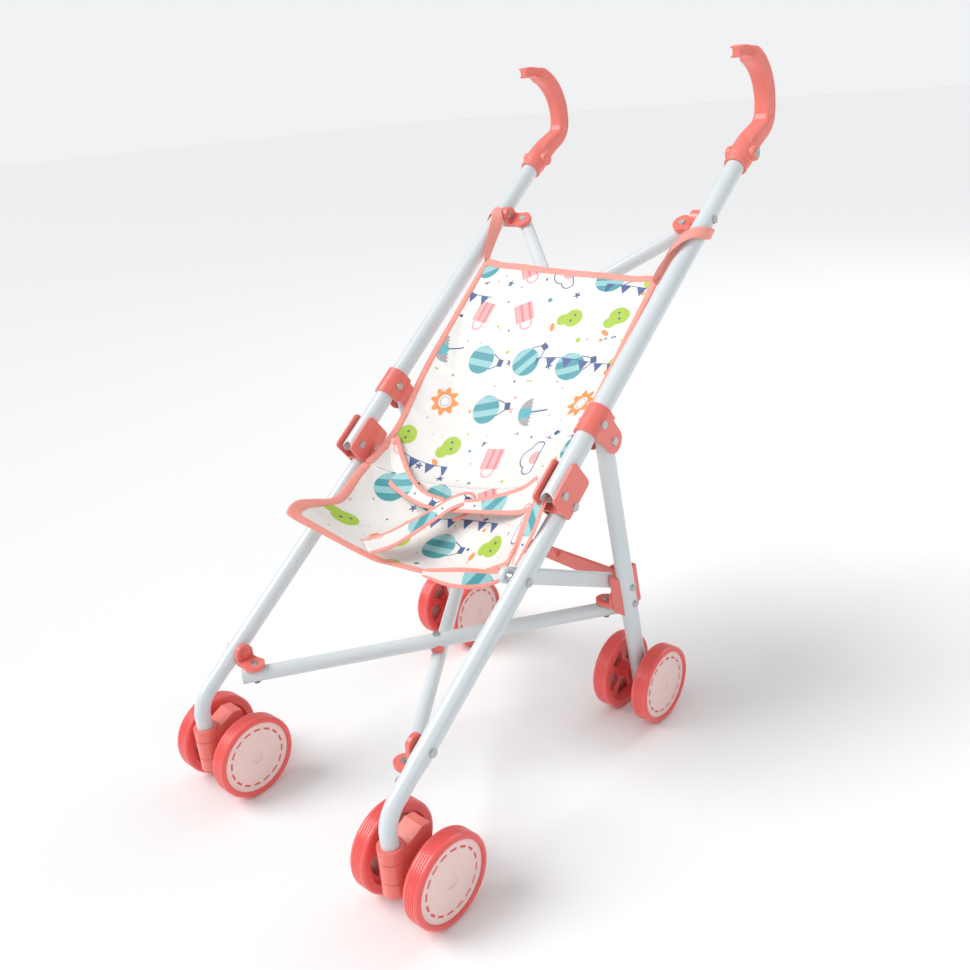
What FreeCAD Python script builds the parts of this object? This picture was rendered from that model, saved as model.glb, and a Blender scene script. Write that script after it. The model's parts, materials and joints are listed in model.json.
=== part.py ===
import FreeCAD, Part
import math
import os
import Sketcher
from FreeCAD import Placement, Rotation, Vector

# Folding doll stroller.  Millimetres and degrees.  +Z is up, the stroller faces -Y, its pusher stands
# at +Y, and "left" is the pusher's left, +X.  Each side of the frame lies in one upright plane: a handle
# tube, a front leg hinged to it at the knee, a rear leg hinged to a clip on the handle, and a side link
# between the two legs.  The knee hinge is the point that the side's other places are measured from.

doc = FreeCAD.newDocument("doll_stroller")

SIZES = [
    # frame
    ("half_track", 112.0), ("knee_height", 252.0), ("handle_angle", 37.3), ("leg_angle", 36.0),
    ("rear_leg_angle", 79.8), ("handle_od", 16.0), ("leg_od", 14.6), ("stem_od", 13.0),
    ("bar_od", 12.6), ("tube_wall", 1.0), ("handle_reach", 347.0), ("grip_overlap", 9.0),
    ("leg_top", 9.0), ("leg_reach", 254.6), ("leg_bend_radius", 27.0), ("swage_start", 212.0),
    ("swage_length", 9.0),
    # knee bracket, handle clip and the hinge points along the tubes
    ("wall", 2.0), ("run_gap", 0.3), ("pivot_gap", 0.08), ("slide_gap", 1.6),
    ("knee_below", 11.0), ("knee_above", 25.0), ("knee_front", 9.0), ("knee_back", 19.0),
    ("knee_rivet_along", 2.0),
    ("rear_pivot_along", 65.0), ("rear_pivot_below", 21.5), ("clip_length", 25.0), ("clip_ear", 10.0),
    ("link_rear_along", 141.5), ("cross_rear_along", 158.5),
    ("link_front_along", 66.0), ("cross_front_along", 203.0), ("back_knuckle_along", 275.0),
    # rivets, screws and axles
    ("rivet_radius", 2.1), ("rivet_head_radius", 3.6), ("rivet_head", 1.2),
    ("screw_radius", 1.9), ("screw_head_radius", 3.3), ("screw_head", 1.1), ("axle_radius", 2.5),
    # side link
    ("link_height", 13.0), ("link_thickness", 6.0), ("link_inset", 12.2),
    # knuckles and crossed bars
    ("leaf_radius", 7.5), ("leaf", 3.8), ("tongue", 3.8), ("tongue_radius", 8.5), ("screw_inset", 24.0),
    ("upper_bar_drop", 7.0), ("cross_spacer", 3.0), ("bar_tail", 9.0), ("plug", 2.0),
    ("spacer_radius", 6.0), ("back_tongue_drop", 6.0), ("back_brace_fall", 91.0),
    ("lap", 3.4), ("lap_gap", 0.2), ("lap_reach", 40.0), ("lap_radius", 6.0),
    # rear bracket and folding brace
    ("bracket_plate", 3.5), ("bracket_above", 10.0), ("bracket_below", 11.0), ("bracket_front", 8.0),
    ("flange_back", 15.2), ("flange", 3.0), ("flange_half_height", 11.0), ("brace_inset", 21.0),
    ("arm_layer", 7.9), ("arm", 3.3), ("arm_gap", 0.4), ("arm_root_radius", 9.0),
    ("arm_tip_radius", 6.0), ("arm_tail", 26.0), ("arm_rise", 5.0), ("brace_stud_radius", 3.5),
    # grip
    ("socket_radius", 10.2), ("socket_length", 22.0), ("grip_half_width", 10.0),
    ("grip_half_depth", 8.0), ("grip_boss_radius", 6.0), ("grip_boss", 3.2),
    # casters and wheels
    ("wheel_radius", 35.0), ("wheel_width", 15.0), ("trail", 22.7), ("front_wheel_inset", 19.2),
    ("rear_wheel_inset", 12.7), ("housing_radius", 9.6), ("housing_bottom", 27.0),
    ("housing_top", 66.0), ("stem_foot", 32.0), ("body_half_width", 8.6), ("body_back", 8.0),
    ("axle_boss_radius", 7.8), ("hub_radius", 7.0), ("hub_clearance", 0.4), ("web_inner", 5.0),
    ("web_outer", 8.0), ("rim_inner_radius", 27.0), ("cap_radius", 30.2), ("cap_seat", 12.0),
    ("cap_thickness", 1.8), ("cap_recess_radius", 4.6), ("tyre_edge", 2.4), ("window_inner", 10.0),
    ("window_outer", 24.0), ("window_angle", 46.0), ("dash_ring", 24.6), ("dash_length", 6.2),
    ("dash_width", 1.8), ("tread_groove", 0.5),
    # seat
    ("fabric", 3.0), ("seat_top_along", 218.0), ("crease_forward", 4.0), ("crease_below", 33.0),
    ("pan_front", 80.0), ("pan_front_below", 63.0),
]
WINDOWS = 5
DASHES = 16
TREAD_GROOVES = 4


class Size:
    """A value together with the spreadsheet formula that it comes from."""

    def __init__(self, value, formula):
        self.value = value
        self.formula = formula

    def __add__(self, other):
        return joined(self, "+", other)

    def __radd__(self, other):
        return joined(other, "+", self)

    def __sub__(self, other):
        return joined(self, "-", other)

    def __rsub__(self, other):
        return joined(other, "-", self)

    def __mul__(self, other):
        return joined(self, "*", other)

    def __rmul__(self, other):
        return joined(other, "*", self)

    def __truediv__(self, other):
        return joined(self, "/", other)

    def __neg__(self):
        return joined(0, "-", self)


def sized(number):
    return number if isinstance(number, Size) else Size(float(number), repr(float(number)))


def joined(first, sign, second):
    first, second = sized(first), sized(second)
    value = {"+": first.value + second.value, "-": first.value - second.value,
             "*": first.value * second.value,
             "/": first.value / second.value if second.value else 0.0}[sign]
    return Size(value, "(%s %s %s)" % (first.formula, sign, second.formula))


class Dimensions:
    """The spreadsheet's aliases as attributes."""


dim = Dimensions()
sheet = doc.addObject("Spreadsheet::Sheet", "Sizes")
for row, (alias, number) in enumerate(SIZES, start=1):
    sheet.set("A%d" % row, alias.replace("_", " "))
    sheet.set("B%d" % row, str(number))
    sheet.setAlias("B%d" % row, alias)
    setattr(dim, alias, Size(number, "Sizes." + alias))
doc.recompute()


def num(size):
    return sized(size).value


def bind(thing, prop, size):
    size = sized(size)
    setattr(thing, prop, size.value)
    if "Sizes." in size.formula:
        thing.setExpression(prop, size.formula)


# ---------------------------------------------------------------- places

UPRIGHT = Rotation(Vector(1, 1, 1), 120)      # local X, Y, Z become the part's Y, Z, X
HALF_TURN = Rotation(Vector(0, 0, 1), 180)


def heading(angle):
    return Vector(0, math.cos(math.radians(angle)), math.sin(math.radians(angle)))


def side_frame(point, angle, side=0):
    """A frame in a side's plane: X along the heading, Y a quarter turn up from it, Z to the left."""
    origin = Vector(side * num(dim.half_track), point.y, point.z)
    return Placement(origin, Rotation(Vector(1, 0, 0), angle) * UPRIGHT)


def shifted(frame, x=0, y=0, z=0):
    return frame * Placement(Vector(num(x), num(y), num(z)), Rotation())


def inboard(side, near, far):
    """The interval from near to far, measured from the side's plane towards the middle."""
    near, far = sized(near), sized(far)
    return (-far, -near) if side > 0 else (near, far)


def outboard(side, near, far):
    return inboard(-side, near, far)


handle_angle, leg_angle = num(dim.handle_angle), num(dim.leg_angle)
rear_angle = -num(dim.rear_leg_angle)
knee_offset = dim.handle_od / 2 + dim.run_gap + dim.wall + dim.leg_od / 2
leg_origin = heading(leg_angle - 90) * num(knee_offset)
leg_corner = leg_origin - heading(leg_angle) * num(dim.leg_reach)
rear_pivot = (heading(handle_angle) * num(dim.rear_pivot_along)
              + heading(handle_angle - 90) * num(dim.rear_pivot_below))
handle_end = heading(handle_angle) * num(dim.handle_reach)
sin_handle, cos_handle = math.sin(math.radians(handle_angle)), math.cos(math.radians(handle_angle))
rear_pivot_height = (dim.knee_height + dim.rear_pivot_along * sin_handle
                     - dim.rear_pivot_below * cos_handle)
rear_leg_reach = (rear_pivot_height - dim.wheel_radius) / math.sin(math.radians(num(dim.rear_leg_angle)))

# The grip's centre line: straight out of the socket, a slight lean back, then round and over to the tip.
GRIP_RUNS = [(0.0, 12.0), (-12.0, 60.0), (0.0, 12.0), (124.7, 32.0), (22.0, 120.0)]


def tangent_path(start, angle, runs):
    """Edges in the YZ plane: (0, length) is straight, (turn, radius) an arc that turns left if positive."""
    edges, point, reach = [], start, start.y
    for turn, measure in runs:
        if turn == 0:
            end = point + heading(angle) * measure
            edges.append(Part.makeLine(point, end))
        else:
            bend = 90 if turn > 0 else -90
            centre = point + heading(angle + bend) * measure
            middle = centre + heading(angle - bend + turn / 2) * measure
            end = centre + heading(angle - bend + turn) * measure
            edges.append(Part.Arc(point, middle, end).toShape())
            if angle < 90 < angle + turn:
                reach = max(reach, centre.y + measure)
            angle += turn
        point = end
        reach = max(reach, end.y)
    return edges, point, angle, reach


grip_edges, grip_tip, grip_tip_angle, grip_back = tangent_path(handle_end, handle_angle, GRIP_RUNS)
frame_front = leg_corner.y + num(dim.trail - dim.wheel_radius)
frame_back = grip_back + num(dim.grip_half_depth)
knee = Vector(0, -(frame_front + frame_back) / 2, num(dim.knee_height))


def placed(point):
    return knee + point


front_pivot = placed(leg_origin - heading(leg_angle) * num(dim.cross_front_along))
link_front = placed(leg_origin - heading(leg_angle) * num(dim.link_front_along))
link_rear = placed(rear_pivot + heading(rear_angle) * num(dim.link_rear_along))
cross_rear = placed(rear_pivot + heading(rear_angle) * num(dim.cross_rear_along))
rear_axle = placed(rear_pivot + heading(rear_angle) * num(rear_leg_reach))
stem_y = placed(leg_corner).y
front_axle = Vector(0, stem_y + num(dim.trail), num(dim.wheel_radius))
cross_run = front_pivot - cross_rear
cross_angle = math.degrees(math.atan2(cross_run.z, cross_run.y))
link_run = link_front - link_rear
link_angle = math.degrees(math.atan2(link_run.z, link_run.y))


# ---------------------------------------------------------------- shapes

def turned(frame, axis):
    """The frame with its Z axis turned onto its own X or Y axis."""
    turns = {"X": Rotation(Vector(0, 1, 0), 90), "Y": Rotation(Vector(1, 0, 0), -90), "Z": Rotation()}
    return frame * Placement(Vector(), turns[axis])


def rod(label, radius, start, end, frame, axis="Z"):
    thing = doc.addObject("Part::Cylinder", label)
    bind(thing, "Radius", radius)
    bind(thing, "Height", end - start)
    thing.Placement = shifted(turned(frame, axis), z=start)
    return thing


def cone(label, radius_one, radius_two, start, end, frame, axis="Z"):
    thing = doc.addObject("Part::Cone", label)
    bind(thing, "Radius1", radius_one)
    bind(thing, "Radius2", radius_two)
    bind(thing, "Height", end - start)
    thing.Placement = shifted(turned(frame, axis), z=start)
    return thing


def block(label, x_span, y_span, z_span, frame):
    thing = doc.addObject("Part::Box", label)
    for prop, span in (("Length", x_span), ("Width", y_span), ("Height", z_span)):
        bind(thing, prop, span[1] - span[0])
    thing.Placement = shifted(frame, x_span[0], y_span[0], z_span[0])
    return thing


def fused(label, *things):
    thing = doc.addObject("Part::MultiFuse", label)
    thing.Shapes = list(things)
    thing.Refine = True
    return thing


def cut(label, base, *tools):
    thing = doc.addObject("Part::Cut", label)
    thing.Base = base
    thing.Tool = tools[0] if len(tools) == 1 else fused(label + "_tools", *tools)
    return thing


def common(label, first, second):
    thing = doc.addObject("Part::Common", label)
    thing.Base, thing.Tool = first, second
    return thing


def rounded(label, base, radius, chosen):
    """The base with the edges that the test chooses rounded."""
    doc.recompute()
    thing = doc.addObject("Part::Fillet", label)
    thing.Base = base
    picks = [n for n, edge in enumerate(base.Shape.Edges, start=1) if chosen(edge)]
    thing.Edges = [(n, radius, radius) for n in picks]
    return thing


def swept(label, edges, section):
    path = doc.addObject("Part::Feature", label + "_path")
    path.Shape = Part.Wire(edges)
    thing = doc.addObject("Part::Sweep", label)
    thing.Sections = [section]
    thing.Spine = (path, ["Edge%d" % (n + 1) for n in range(len(edges))])
    thing.Solid = True
    thing.Frenet = False
    return thing


def ring_section(label, radius, start, angle):
    thing = doc.addObject("Part::Circle", label)
    bind(thing, "Radius", radius)
    thing.Placement = turned(Placement(start, Rotation(Vector(1, 0, 0), angle) * UPRIGHT), "X")
    return thing


def sketched(body, role, corners):
    """A closed outline of straight sides on one of the body's own planes, each corner tied to the sheet."""
    sketch = body.newObject("Sketcher::SketchObject", body.Name + "_outline")
    plane = [face for face in body.Origin.OriginFeatures if face.Role == role][0]
    sketch.AttachmentSupport = [(plane, "")]
    sketch.MapMode = "FlatFace"
    points = [Vector(num(x), num(y), 0) for x, y in corners]
    count = len(points)
    for n in range(count):
        sketch.addGeometry(Part.LineSegment(points[n], points[(n + 1) % count]))
    for n in range(count):
        sketch.addConstraint(Sketcher.Constraint("Coincident", n, 2, (n + 1) % count, 1))
    for n, corner in enumerate(corners):
        for kind, own_axis, size in (("DistanceX", -2, corner[0]), ("DistanceY", -1, corner[1])):
            size = sized(size)
            if abs(size.value) < 1e-9:
                sketch.addConstraint(Sketcher.Constraint("PointOnObject", n, 1, own_axis))
                continue
            index = sketch.addConstraint(Sketcher.Constraint(kind, -1, 1, n, 1, size.value))
            if "Sizes." in size.formula:
                sketch.setExpression("Constraints[%d]" % index, size.formula)
    return sketch


def padded(label, corners, thickness, frame):
    """A plate of the outline in the frame's XY plane, half of its thickness to each side."""
    body = doc.addObject("PartDesign::Body", label)
    sketch = sketched(body, "XY_Plane", corners)
    pad = body.newObject("PartDesign::Pad", label + "_pad")
    pad.Profile = sketch
    bind(pad, "Length", thickness)
    pad.Midplane = True
    body.Tip = pad
    body.Placement = frame
    return body


def revolved(label, corners, frame):
    """A full turn of the outline, given as radius and height, round the frame's Z axis."""
    body = doc.addObject("PartDesign::Body", label)
    sketch = sketched(body, "XZ_Plane", corners)
    turn = body.newObject("PartDesign::Revolution", label + "_turn")
    turn.Profile = sketch
    turn.ReferenceAxis = (sketch, ["V_Axis"])
    turn.Angle = 360
    body.Tip = turn
    body.Placement = frame
    return body


nodes = {}


def node(label, thing):
    """Names the finished sub-part: its label names its file."""
    thing.Label = label
    nodes[label] = thing
    return thing


def headed_pin(label, radius, head_radius, head, start, end, frame, axis="Z"):
    """A pin from start to end with a slightly tapered head at each of its ends."""
    shank = rod(label + "_shank", radius, start, end, frame, axis)
    taper = head_radius - 0.5
    low = cone(label + "_low", taper, head_radius, sized(start) - head, start, frame, axis)
    high = cone(label + "_high", head_radius, taper, end, sized(end) + head, frame, axis)
    return fused(label, shank, low, high)


def rivet(label, start, end, frame):
    return headed_pin(label, dim.rivet_radius, dim.rivet_head_radius, dim.rivet_head, start, end, frame)


def screw(label, start, end, frame, axis="Z"):
    return headed_pin(label, dim.screw_radius, dim.screw_head_radius, dim.screw_head, start, end, frame,
                      axis)


def group(label, *things):
    """Several separate solids in one node."""
    thing = doc.addObject("Part::Compound", label)
    thing.Links = list(things)
    return node(label, thing)


# ---------------------------------------------------------------- handle side

wall_inner = dim.handle_od / 2 + dim.run_gap
wall_outer = wall_inner + dim.wall
fixed_hole, running_hole = dim.rivet_radius, dim.rivet_radius + dim.pivot_gap
grip_rivet_along = dim.handle_reach + 4


def handle_tube(name, frame):
    radius = dim.handle_od / 2
    top = dim.handle_reach + dim.grip_overlap
    outside = rod(name + "_outside", radius, 0, top, frame, "X")
    stub = rod(name + "_stub", radius, -radius, 0, frame, "X")
    rounding = rod(name + "_rounding", radius, -radius, radius, frame)
    lower_end = common(name + "_lower_end", stub, rounding)
    bore = rod(name + "_bore", radius - dim.tube_wall, -radius - 1, top + 1, frame, "X")
    holes = [rod(name + "_hole_%d" % n, size, -radius - 1, radius + 1, shifted(frame, x=along))
             for n, (along, size) in enumerate(((0, running_hole), (dim.rear_pivot_along, fixed_hole),
                                                (dim.back_knuckle_along, fixed_hole),
                                                (grip_rivet_along, fixed_hole)))]
    node(name, cut(name + "_cut", fused(name + "_solid", outside, lower_end), bore, *holes))


def grip(name, side, frame):
    x = side * num(dim.half_track)
    edges = [edge.translated(knee + Vector(x, 0, 0)) for edge in grip_edges]
    section = doc.addObject("Part::Ellipse", name + "_section")
    bind(section, "MajorRadius", dim.grip_half_width)
    bind(section, "MinorRadius", dim.grip_half_depth)
    start = placed(handle_end) + Vector(x, 0, 0)
    section.Placement = turned(Placement(start, Rotation(Vector(1, 0, 0), handle_angle) * UPRIGHT), "X")
    handle = swept(name + "_bend", edges, section)
    socket = rod(name + "_socket", dim.socket_radius, dim.handle_reach - dim.socket_length / 2,
                 dim.handle_reach + dim.grip_overlap + dim.wall, frame, "X")
    boss = rod(name + "_boss", dim.grip_boss_radius, 0, dim.socket_radius + dim.grip_boss,
               shifted(frame, x=grip_rivet_along) if side > 0 else
               shifted(frame, x=grip_rivet_along) * Placement(Vector(), Rotation(Vector(1, 0, 0), 180)))
    bore = rod(name + "_bore", dim.handle_od / 2, dim.handle_reach - dim.socket_length,
               dim.handle_reach + dim.grip_overlap, frame, "X")
    span = dim.socket_radius + dim.grip_boss + 1
    hole = rod(name + "_hole", dim.rivet_radius, -span, span, shifted(frame, x=grip_rivet_along))
    solid = fused(name + "_solid", handle, socket, boss)
    node(name, cut(name + "_cut", solid, bore, hole))


def clip(name, frame):
    """A saddle over the front of the handle tube whose two ears carry the rear leg."""
    middle, half = dim.rear_pivot_along, dim.clip_length / 2
    saddle = rod(name + "_saddle", wall_outer, middle - half, middle + half, frame, "X")
    ears = block(name + "_ears", (middle - dim.clip_ear, middle + dim.clip_ear),
                 (-dim.rear_pivot_below, 0), (-wall_outer, wall_outer), frame)
    neck = block(name + "_neck", (middle - half, middle + half), (-dim.handle_od / 2, 0),
                 (-wall_outer, wall_outer), frame)
    toe = rod(name + "_toe", dim.clip_ear, -wall_outer, wall_outer,
              shifted(frame, x=middle, y=-dim.rear_pivot_below))
    tube_way = rod(name + "_tube_way", dim.handle_od / 2, 0, dim.handle_reach, frame, "X")
    slot = block(name + "_slot", (middle - half - 1, middle + half + 1),
                 (-dim.rear_pivot_below - dim.clip_ear - 1, 0), (-wall_inner, wall_inner), frame)
    holes = [rod(name + "_hole_%d" % n, fixed_hole, -wall_outer - 1, wall_outer + 1,
                 shifted(frame, x=middle, y=y)) for n, y in enumerate((0, -dim.rear_pivot_below))]
    solid = fused(name + "_solid", saddle, ears, neck, toe)
    node(name, cut(name + "_cut", solid, tube_way, slot, *holes))


def knuckle(name, side, frame, seat, drop, rivet_hole, screw_hole, hug=None):
    """An L-shaped hinge: a leaf against the tube's inner side, and a tongue for the end of a bar.

    The frame's origin is the leaf's rivet and its Y axis points away from the tongue; seat is the leaf's
    distance from the side's plane, and hug a tube radius that the leaf is hollowed to. With no rivet
    hole the leaf carries the rivet's head itself."""
    leaf_back = seat if hug is None else seat - dim.leaf
    z_leaf = inboard(side, leaf_back, seat + dim.leaf)
    disc = rod(name + "_disc", dim.leaf_radius, *z_leaf, frame)
    low = -(drop + dim.tongue / 2)
    leaf = block(name + "_leaf", (-dim.leaf_radius, dim.leaf_radius), (low, 0), z_leaf, frame)
    z_tongue = inboard(side, leaf_back, dim.screw_inset)
    tongue = block(name + "_tongue", (-dim.leaf_radius, dim.leaf_radius), (low, low + dim.tongue),
                   z_tongue, frame)
    reach = -side * dim.screw_inset
    end = rod(name + "_end", dim.tongue_radius, low, low + dim.tongue, shifted(frame, z=reach), "Y")
    tools = [rod(name + "_screw_hole", screw_hole, low - 1, low + dim.tongue + 1,
                 shifted(frame, z=reach), "Y")]
    things = [disc, leaf, tongue, end]
    if rivet_hole is None:
        head = inboard(side, seat + dim.leaf, seat + dim.leaf + dim.rivet_head)
        things.append(rod(name + "_head", dim.rivet_head_radius, *head, frame))
    else:
        tools.append(rod(name + "_rivet_hole", rivet_hole, *inboard(side, 0, dim.screw_inset), frame))
    if hug is not None:
        tools.append(rod(name + "_hug", hug, -30, 30, frame * Placement(
            Vector(), Rotation(Vector(0, 0, 1), handle_angle - num_angle(frame))), "X"))
    node(name, cut(name + "_cut", fused(name + "_solid", *things), *tools))


def num_angle(frame):
    """The heading of the frame's X axis in its side's plane."""
    along = frame.Rotation.multVec(Vector(1, 0, 0))
    return math.degrees(math.atan2(along.z, along.y))


back_tongue_low = dim.back_tongue_drop + dim.tongue / 2


def handle_fasteners(name, side, frame):
    """The clip's two rivets, the knuckle's rivet and screw, and the grip's rivet."""
    middle = dim.rear_pivot_along
    back = shifted(frame, x=dim.back_knuckle_along)
    knuckle_seat = dim.handle_od / 2 + dim.leaf
    grip_span = outboard(side, -dim.socket_radius, dim.socket_radius + dim.grip_boss)
    knuckle_span = inboard(side, -dim.handle_od / 2, knuckle_seat)
    pin_low = -(back_tongue_low + dim.run_gap * 2 + dim.bar_od)
    group(name,
          rivet(name + "_clip", -wall_outer, wall_outer, shifted(frame, x=middle)),
          rivet(name + "_leg", -wall_outer, wall_outer, shifted(frame, x=middle, y=-dim.rear_pivot_below)),
          rivet(name + "_knuckle", *knuckle_span, back),
          rivet(name + "_grip", *grip_span, shifted(frame, x=grip_rivet_along)),
          screw(name + "_hinge", pin_low, dim.tongue - back_tongue_low,
                shifted(back, z=-side * dim.screw_inset), "Y"))


# ---------------------------------------------------------------- front leg

def leg_path(side, radius):
    """From the knee down the leg, round the bend and down the caster's stem."""
    bend = num(dim.leg_bend_radius)
    turn = 90 - leg_angle
    tangent = bend * math.tan(math.radians(turn / 2))
    start = placed(leg_origin + heading(leg_angle) * num(dim.leg_top))
    start = start + Vector(side * num(dim.half_track), 0, 0)
    corner_height = placed(leg_corner).z
    runs = [(0.0, num(dim.leg_top + dim.leg_reach) - tangent), (turn, bend),
            (0.0, corner_height - tangent - num(dim.stem_foot))]
    edges = tangent_path(start, leg_angle + 180, runs)[0]
    section = ring_section(radius[0], radius[1], start, leg_angle + 180)
    return swept(radius[0] + "_run", edges, section)


def front_leg(name, side, frame):
    thin = leg_path(side, (name + "_thin", dim.stem_od / 2))
    thick = rod(name + "_thick", dim.leg_od / 2, -dim.swage_start, dim.leg_top, frame, "X")
    swage = cone(name + "_swage", dim.stem_od / 2, dim.leg_od / 2,
                 -dim.swage_start - dim.swage_length, -dim.swage_start, frame, "X")
    bore = leg_path(side, (name + "_bore", dim.stem_od / 2 - dim.tube_wall))
    span = dim.leg_od / 2 + 1
    holes = [rod(name + "_hole_%d" % n, size, -span, span, shifted(frame, x=along))
             for n, (along, size) in enumerate(((dim.knee_rivet_along, fixed_hole),
                                                (-dim.link_front_along, running_hole),
                                                (-dim.cross_front_along, fixed_hole)))]
    node(name, cut(name + "_cut", fused(name + "_solid", thin, thick, swage), bore, *holes))


def knee_bracket(name, side, handle_frame, leg_frame):
    """Two walls and a web: the leg is riveted behind the web and the handle hinges in front of it."""
    box_x, box_y = (-dim.knee_below, dim.knee_above), (-dim.knee_back, dim.knee_front)
    outer = block(name + "_outer", box_x, box_y, (-wall_outer, wall_outer), handle_frame)
    corners = rounded(name + "_rounded", outer, 4.0,
                      lambda edge: abs(edge.tangentAt(edge.FirstParameter).x) > 0.99)
    web_front = -(dim.handle_od / 2 + dim.run_gap)
    front_slot = block(name + "_front_slot", (-dim.knee_below - 1, dim.knee_above + 1),
                       (web_front, dim.knee_front + 1), (-wall_inner, wall_inner), handle_frame)
    back_slot = block(name + "_back_slot", (-dim.knee_below - 1, dim.knee_above + 1),
                      (-dim.knee_back - 1, web_front - dim.wall), (-wall_inner, wall_inner), handle_frame)
    leg_way = rod(name + "_leg_way", dim.leg_od / 2, -dim.swage_start, dim.leg_reach, leg_frame, "X")
    holes = [rod(name + "_pivot_hole", fixed_hole, -wall_outer - 1, wall_outer + 1, handle_frame),
             rod(name + "_leg_hole", fixed_hole, -wall_outer - 1, wall_outer + 1,
                 shifted(leg_frame, x=dim.knee_rivet_along))]
    node(name, cut(name + "_cut", corners, front_slot, back_slot, leg_way, *holes))


def leg_fasteners(name, side, handle_frame, leg_frame):
    """The knee's hinge rivet and leg rivet, the link's rivet and the lower knuckle's rivet."""
    link_span = inboard(side, -dim.leg_od / 2, dim.link_inset - dim.run_gap)
    knuckle_span = inboard(side, -dim.leg_od / 2, dim.leg_od / 2 - dim.tube_wall)
    link_rivet = rod(name + "_link_shank", dim.rivet_radius, *link_span,
                     shifted(leg_frame, x=-dim.link_front_along))
    knuckle_rivet = rod(name + "_knuckle_shank", dim.rivet_radius, *knuckle_span,
                        shifted(leg_frame, x=-dim.cross_front_along))
    heads = []
    for n, (along, shank) in enumerate(((dim.link_front_along, link_rivet),
                                        (dim.cross_front_along, knuckle_rivet))):
        face = side * dim.leg_od / 2
        frame = shifted(leg_frame, x=-along, z=face)
        if side < 0:
            frame = frame * Placement(Vector(), Rotation(Vector(1, 0, 0), 180))
        head = cone(name + "_head_%d" % n, dim.rivet_head_radius, dim.rivet_head_radius - 0.5,
                    0, dim.rivet_head, frame)
        heads.append(fused(name + "_rivet_%d" % n, shank, head))
    washer = rod(name + "_washer", dim.rivet_head_radius, *inboard(side, dim.leg_od / 2,
                 dim.link_inset - dim.run_gap), shifted(leg_frame, x=-dim.link_front_along))
    heads[0] = fused(name + "_link_rivet", heads[0], washer)
    group(name, rivet(name + "_pivot", -wall_outer, wall_outer, handle_frame),
          rivet(name + "_leg", -wall_outer, wall_outer, shifted(leg_frame, x=dim.knee_rivet_along)),
          *heads)


# ---------------------------------------------------------------- rear leg

def rear_leg(name, frame):
    radius = dim.leg_od / 2
    tube = rod(name + "_tube", radius, 0, rear_leg_reach, frame, "X")
    ends = []
    for label, low, high, along in (("top", -radius, 0, 0),
                                    ("foot", rear_leg_reach, rear_leg_reach + radius,
                                     rear_leg_reach)):
        stub = rod(name + "_%s_stub" % label, radius, low, high, frame, "X")
        rounding = rod(name + "_%s_rounding" % label, radius, -radius, radius, shifted(frame, x=along))
        ends.append(common(name + "_" + label, stub, rounding))
    bore = rod(name + "_bore", radius - dim.tube_wall, -radius - 1, rear_leg_reach + radius + 1,
               frame, "X")
    holes = [rod(name + "_hole_%d" % n, size, -radius - 1, radius + 1, shifted(frame, x=along))
             for n, (along, size) in enumerate(((0, running_hole), (dim.link_rear_along, fixed_hole),
                                                (dim.cross_rear_along, fixed_hole),
                                                (rear_leg_reach, dim.axle_radius)))]
    node(name, cut(name + "_cut", fused(name + "_solid", tube, *ends), bore, *holes))


plate_face = dim.leg_od / 2 + dim.bracket_plate
rear_seat = plate_face + dim.run_gap
brace_along = (dim.link_rear_along + dim.cross_rear_along) / 2
flange_far = dim.brace_inset + dim.arm_root_radius


def rear_bracket(name, side, frame):
    """A plate riveted inside the rear leg, with a flange behind it for the folding brace."""
    z_plate = inboard(side, 0, plate_face)
    plate = block(name + "_plate", (dim.link_rear_along - dim.bracket_above,
                                    dim.cross_rear_along + dim.bracket_below),
                  (-dim.bracket_front, dim.flange_back + dim.flange), z_plate, frame)
    flange_x = (brace_along - dim.flange_half_height, brace_along + dim.flange_half_height)
    flange = block(name + "_flange", flange_x, (dim.flange_back, dim.flange_back + dim.flange),
                   inboard(side, 0, dim.brace_inset), frame)
    flange_end = rod(name + "_flange_end", dim.flange_half_height, dim.flange_back,
                     dim.flange_back + dim.flange,
                     shifted(frame, x=brace_along, z=-side * dim.brace_inset), "Y")
    solid = fused(name + "_solid", plate, flange, flange_end)
    tube_way = rod(name + "_tube_way", dim.leg_od / 2, 0, rear_leg_reach, frame, "X")
    trim = block(name + "_trim", (0, rear_leg_reach), (-dim.leg_od, dim.leg_od * 2),
                 outboard(side, -0.5, dim.leg_od), frame)
    holes = [rod(name + "_hole_%d" % n, fixed_hole, *inboard(side, 0, plate_face + 1),
                 shifted(frame, x=along)) for n, along in enumerate((dim.link_rear_along,
                                                                    dim.cross_rear_along))]
    pin = rod(name + "_pin_hole", dim.screw_radius, 0, dim.flange_back + dim.flange + 1,
              shifted(frame, x=brace_along, z=-side * dim.brace_inset), "Y")
    node(name, cut(name + "_cut", solid, tube_way, trim, pin, *holes))


def rear_fasteners(name, side, frame):
    """The link's and lower knuckle's rivets, the brace's hinge screw and the rear axle."""
    outer = dim.leg_od / 2
    link_span = inboard(side, -outer, dim.link_inset + dim.link_thickness + dim.pivot_gap)
    cross_span = inboard(side, -outer, rear_seat + dim.leaf + dim.pivot_gap)
    wheel_out = dim.rear_wheel_inset + dim.web_outer
    arm_front = dim.arm_layer - dim.pivot_gap
    hinge = shifted(frame, x=brace_along, z=-side * dim.brace_inset)
    group(name,
          rivet(name + "_link", *link_span, shifted(frame, x=dim.link_rear_along)),
          rivet(name + "_cross", *cross_span, shifted(frame, x=dim.cross_rear_along)),
          headed_pin(name + "_hinge", dim.screw_radius, dim.screw_head_radius, dim.screw_head,
                     arm_front, dim.flange_back + dim.flange, hinge, "Y"),
          rod(name + "_axle", dim.axle_radius, -wheel_out, wheel_out,
              shifted(frame, x=rear_leg_reach)))


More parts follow.
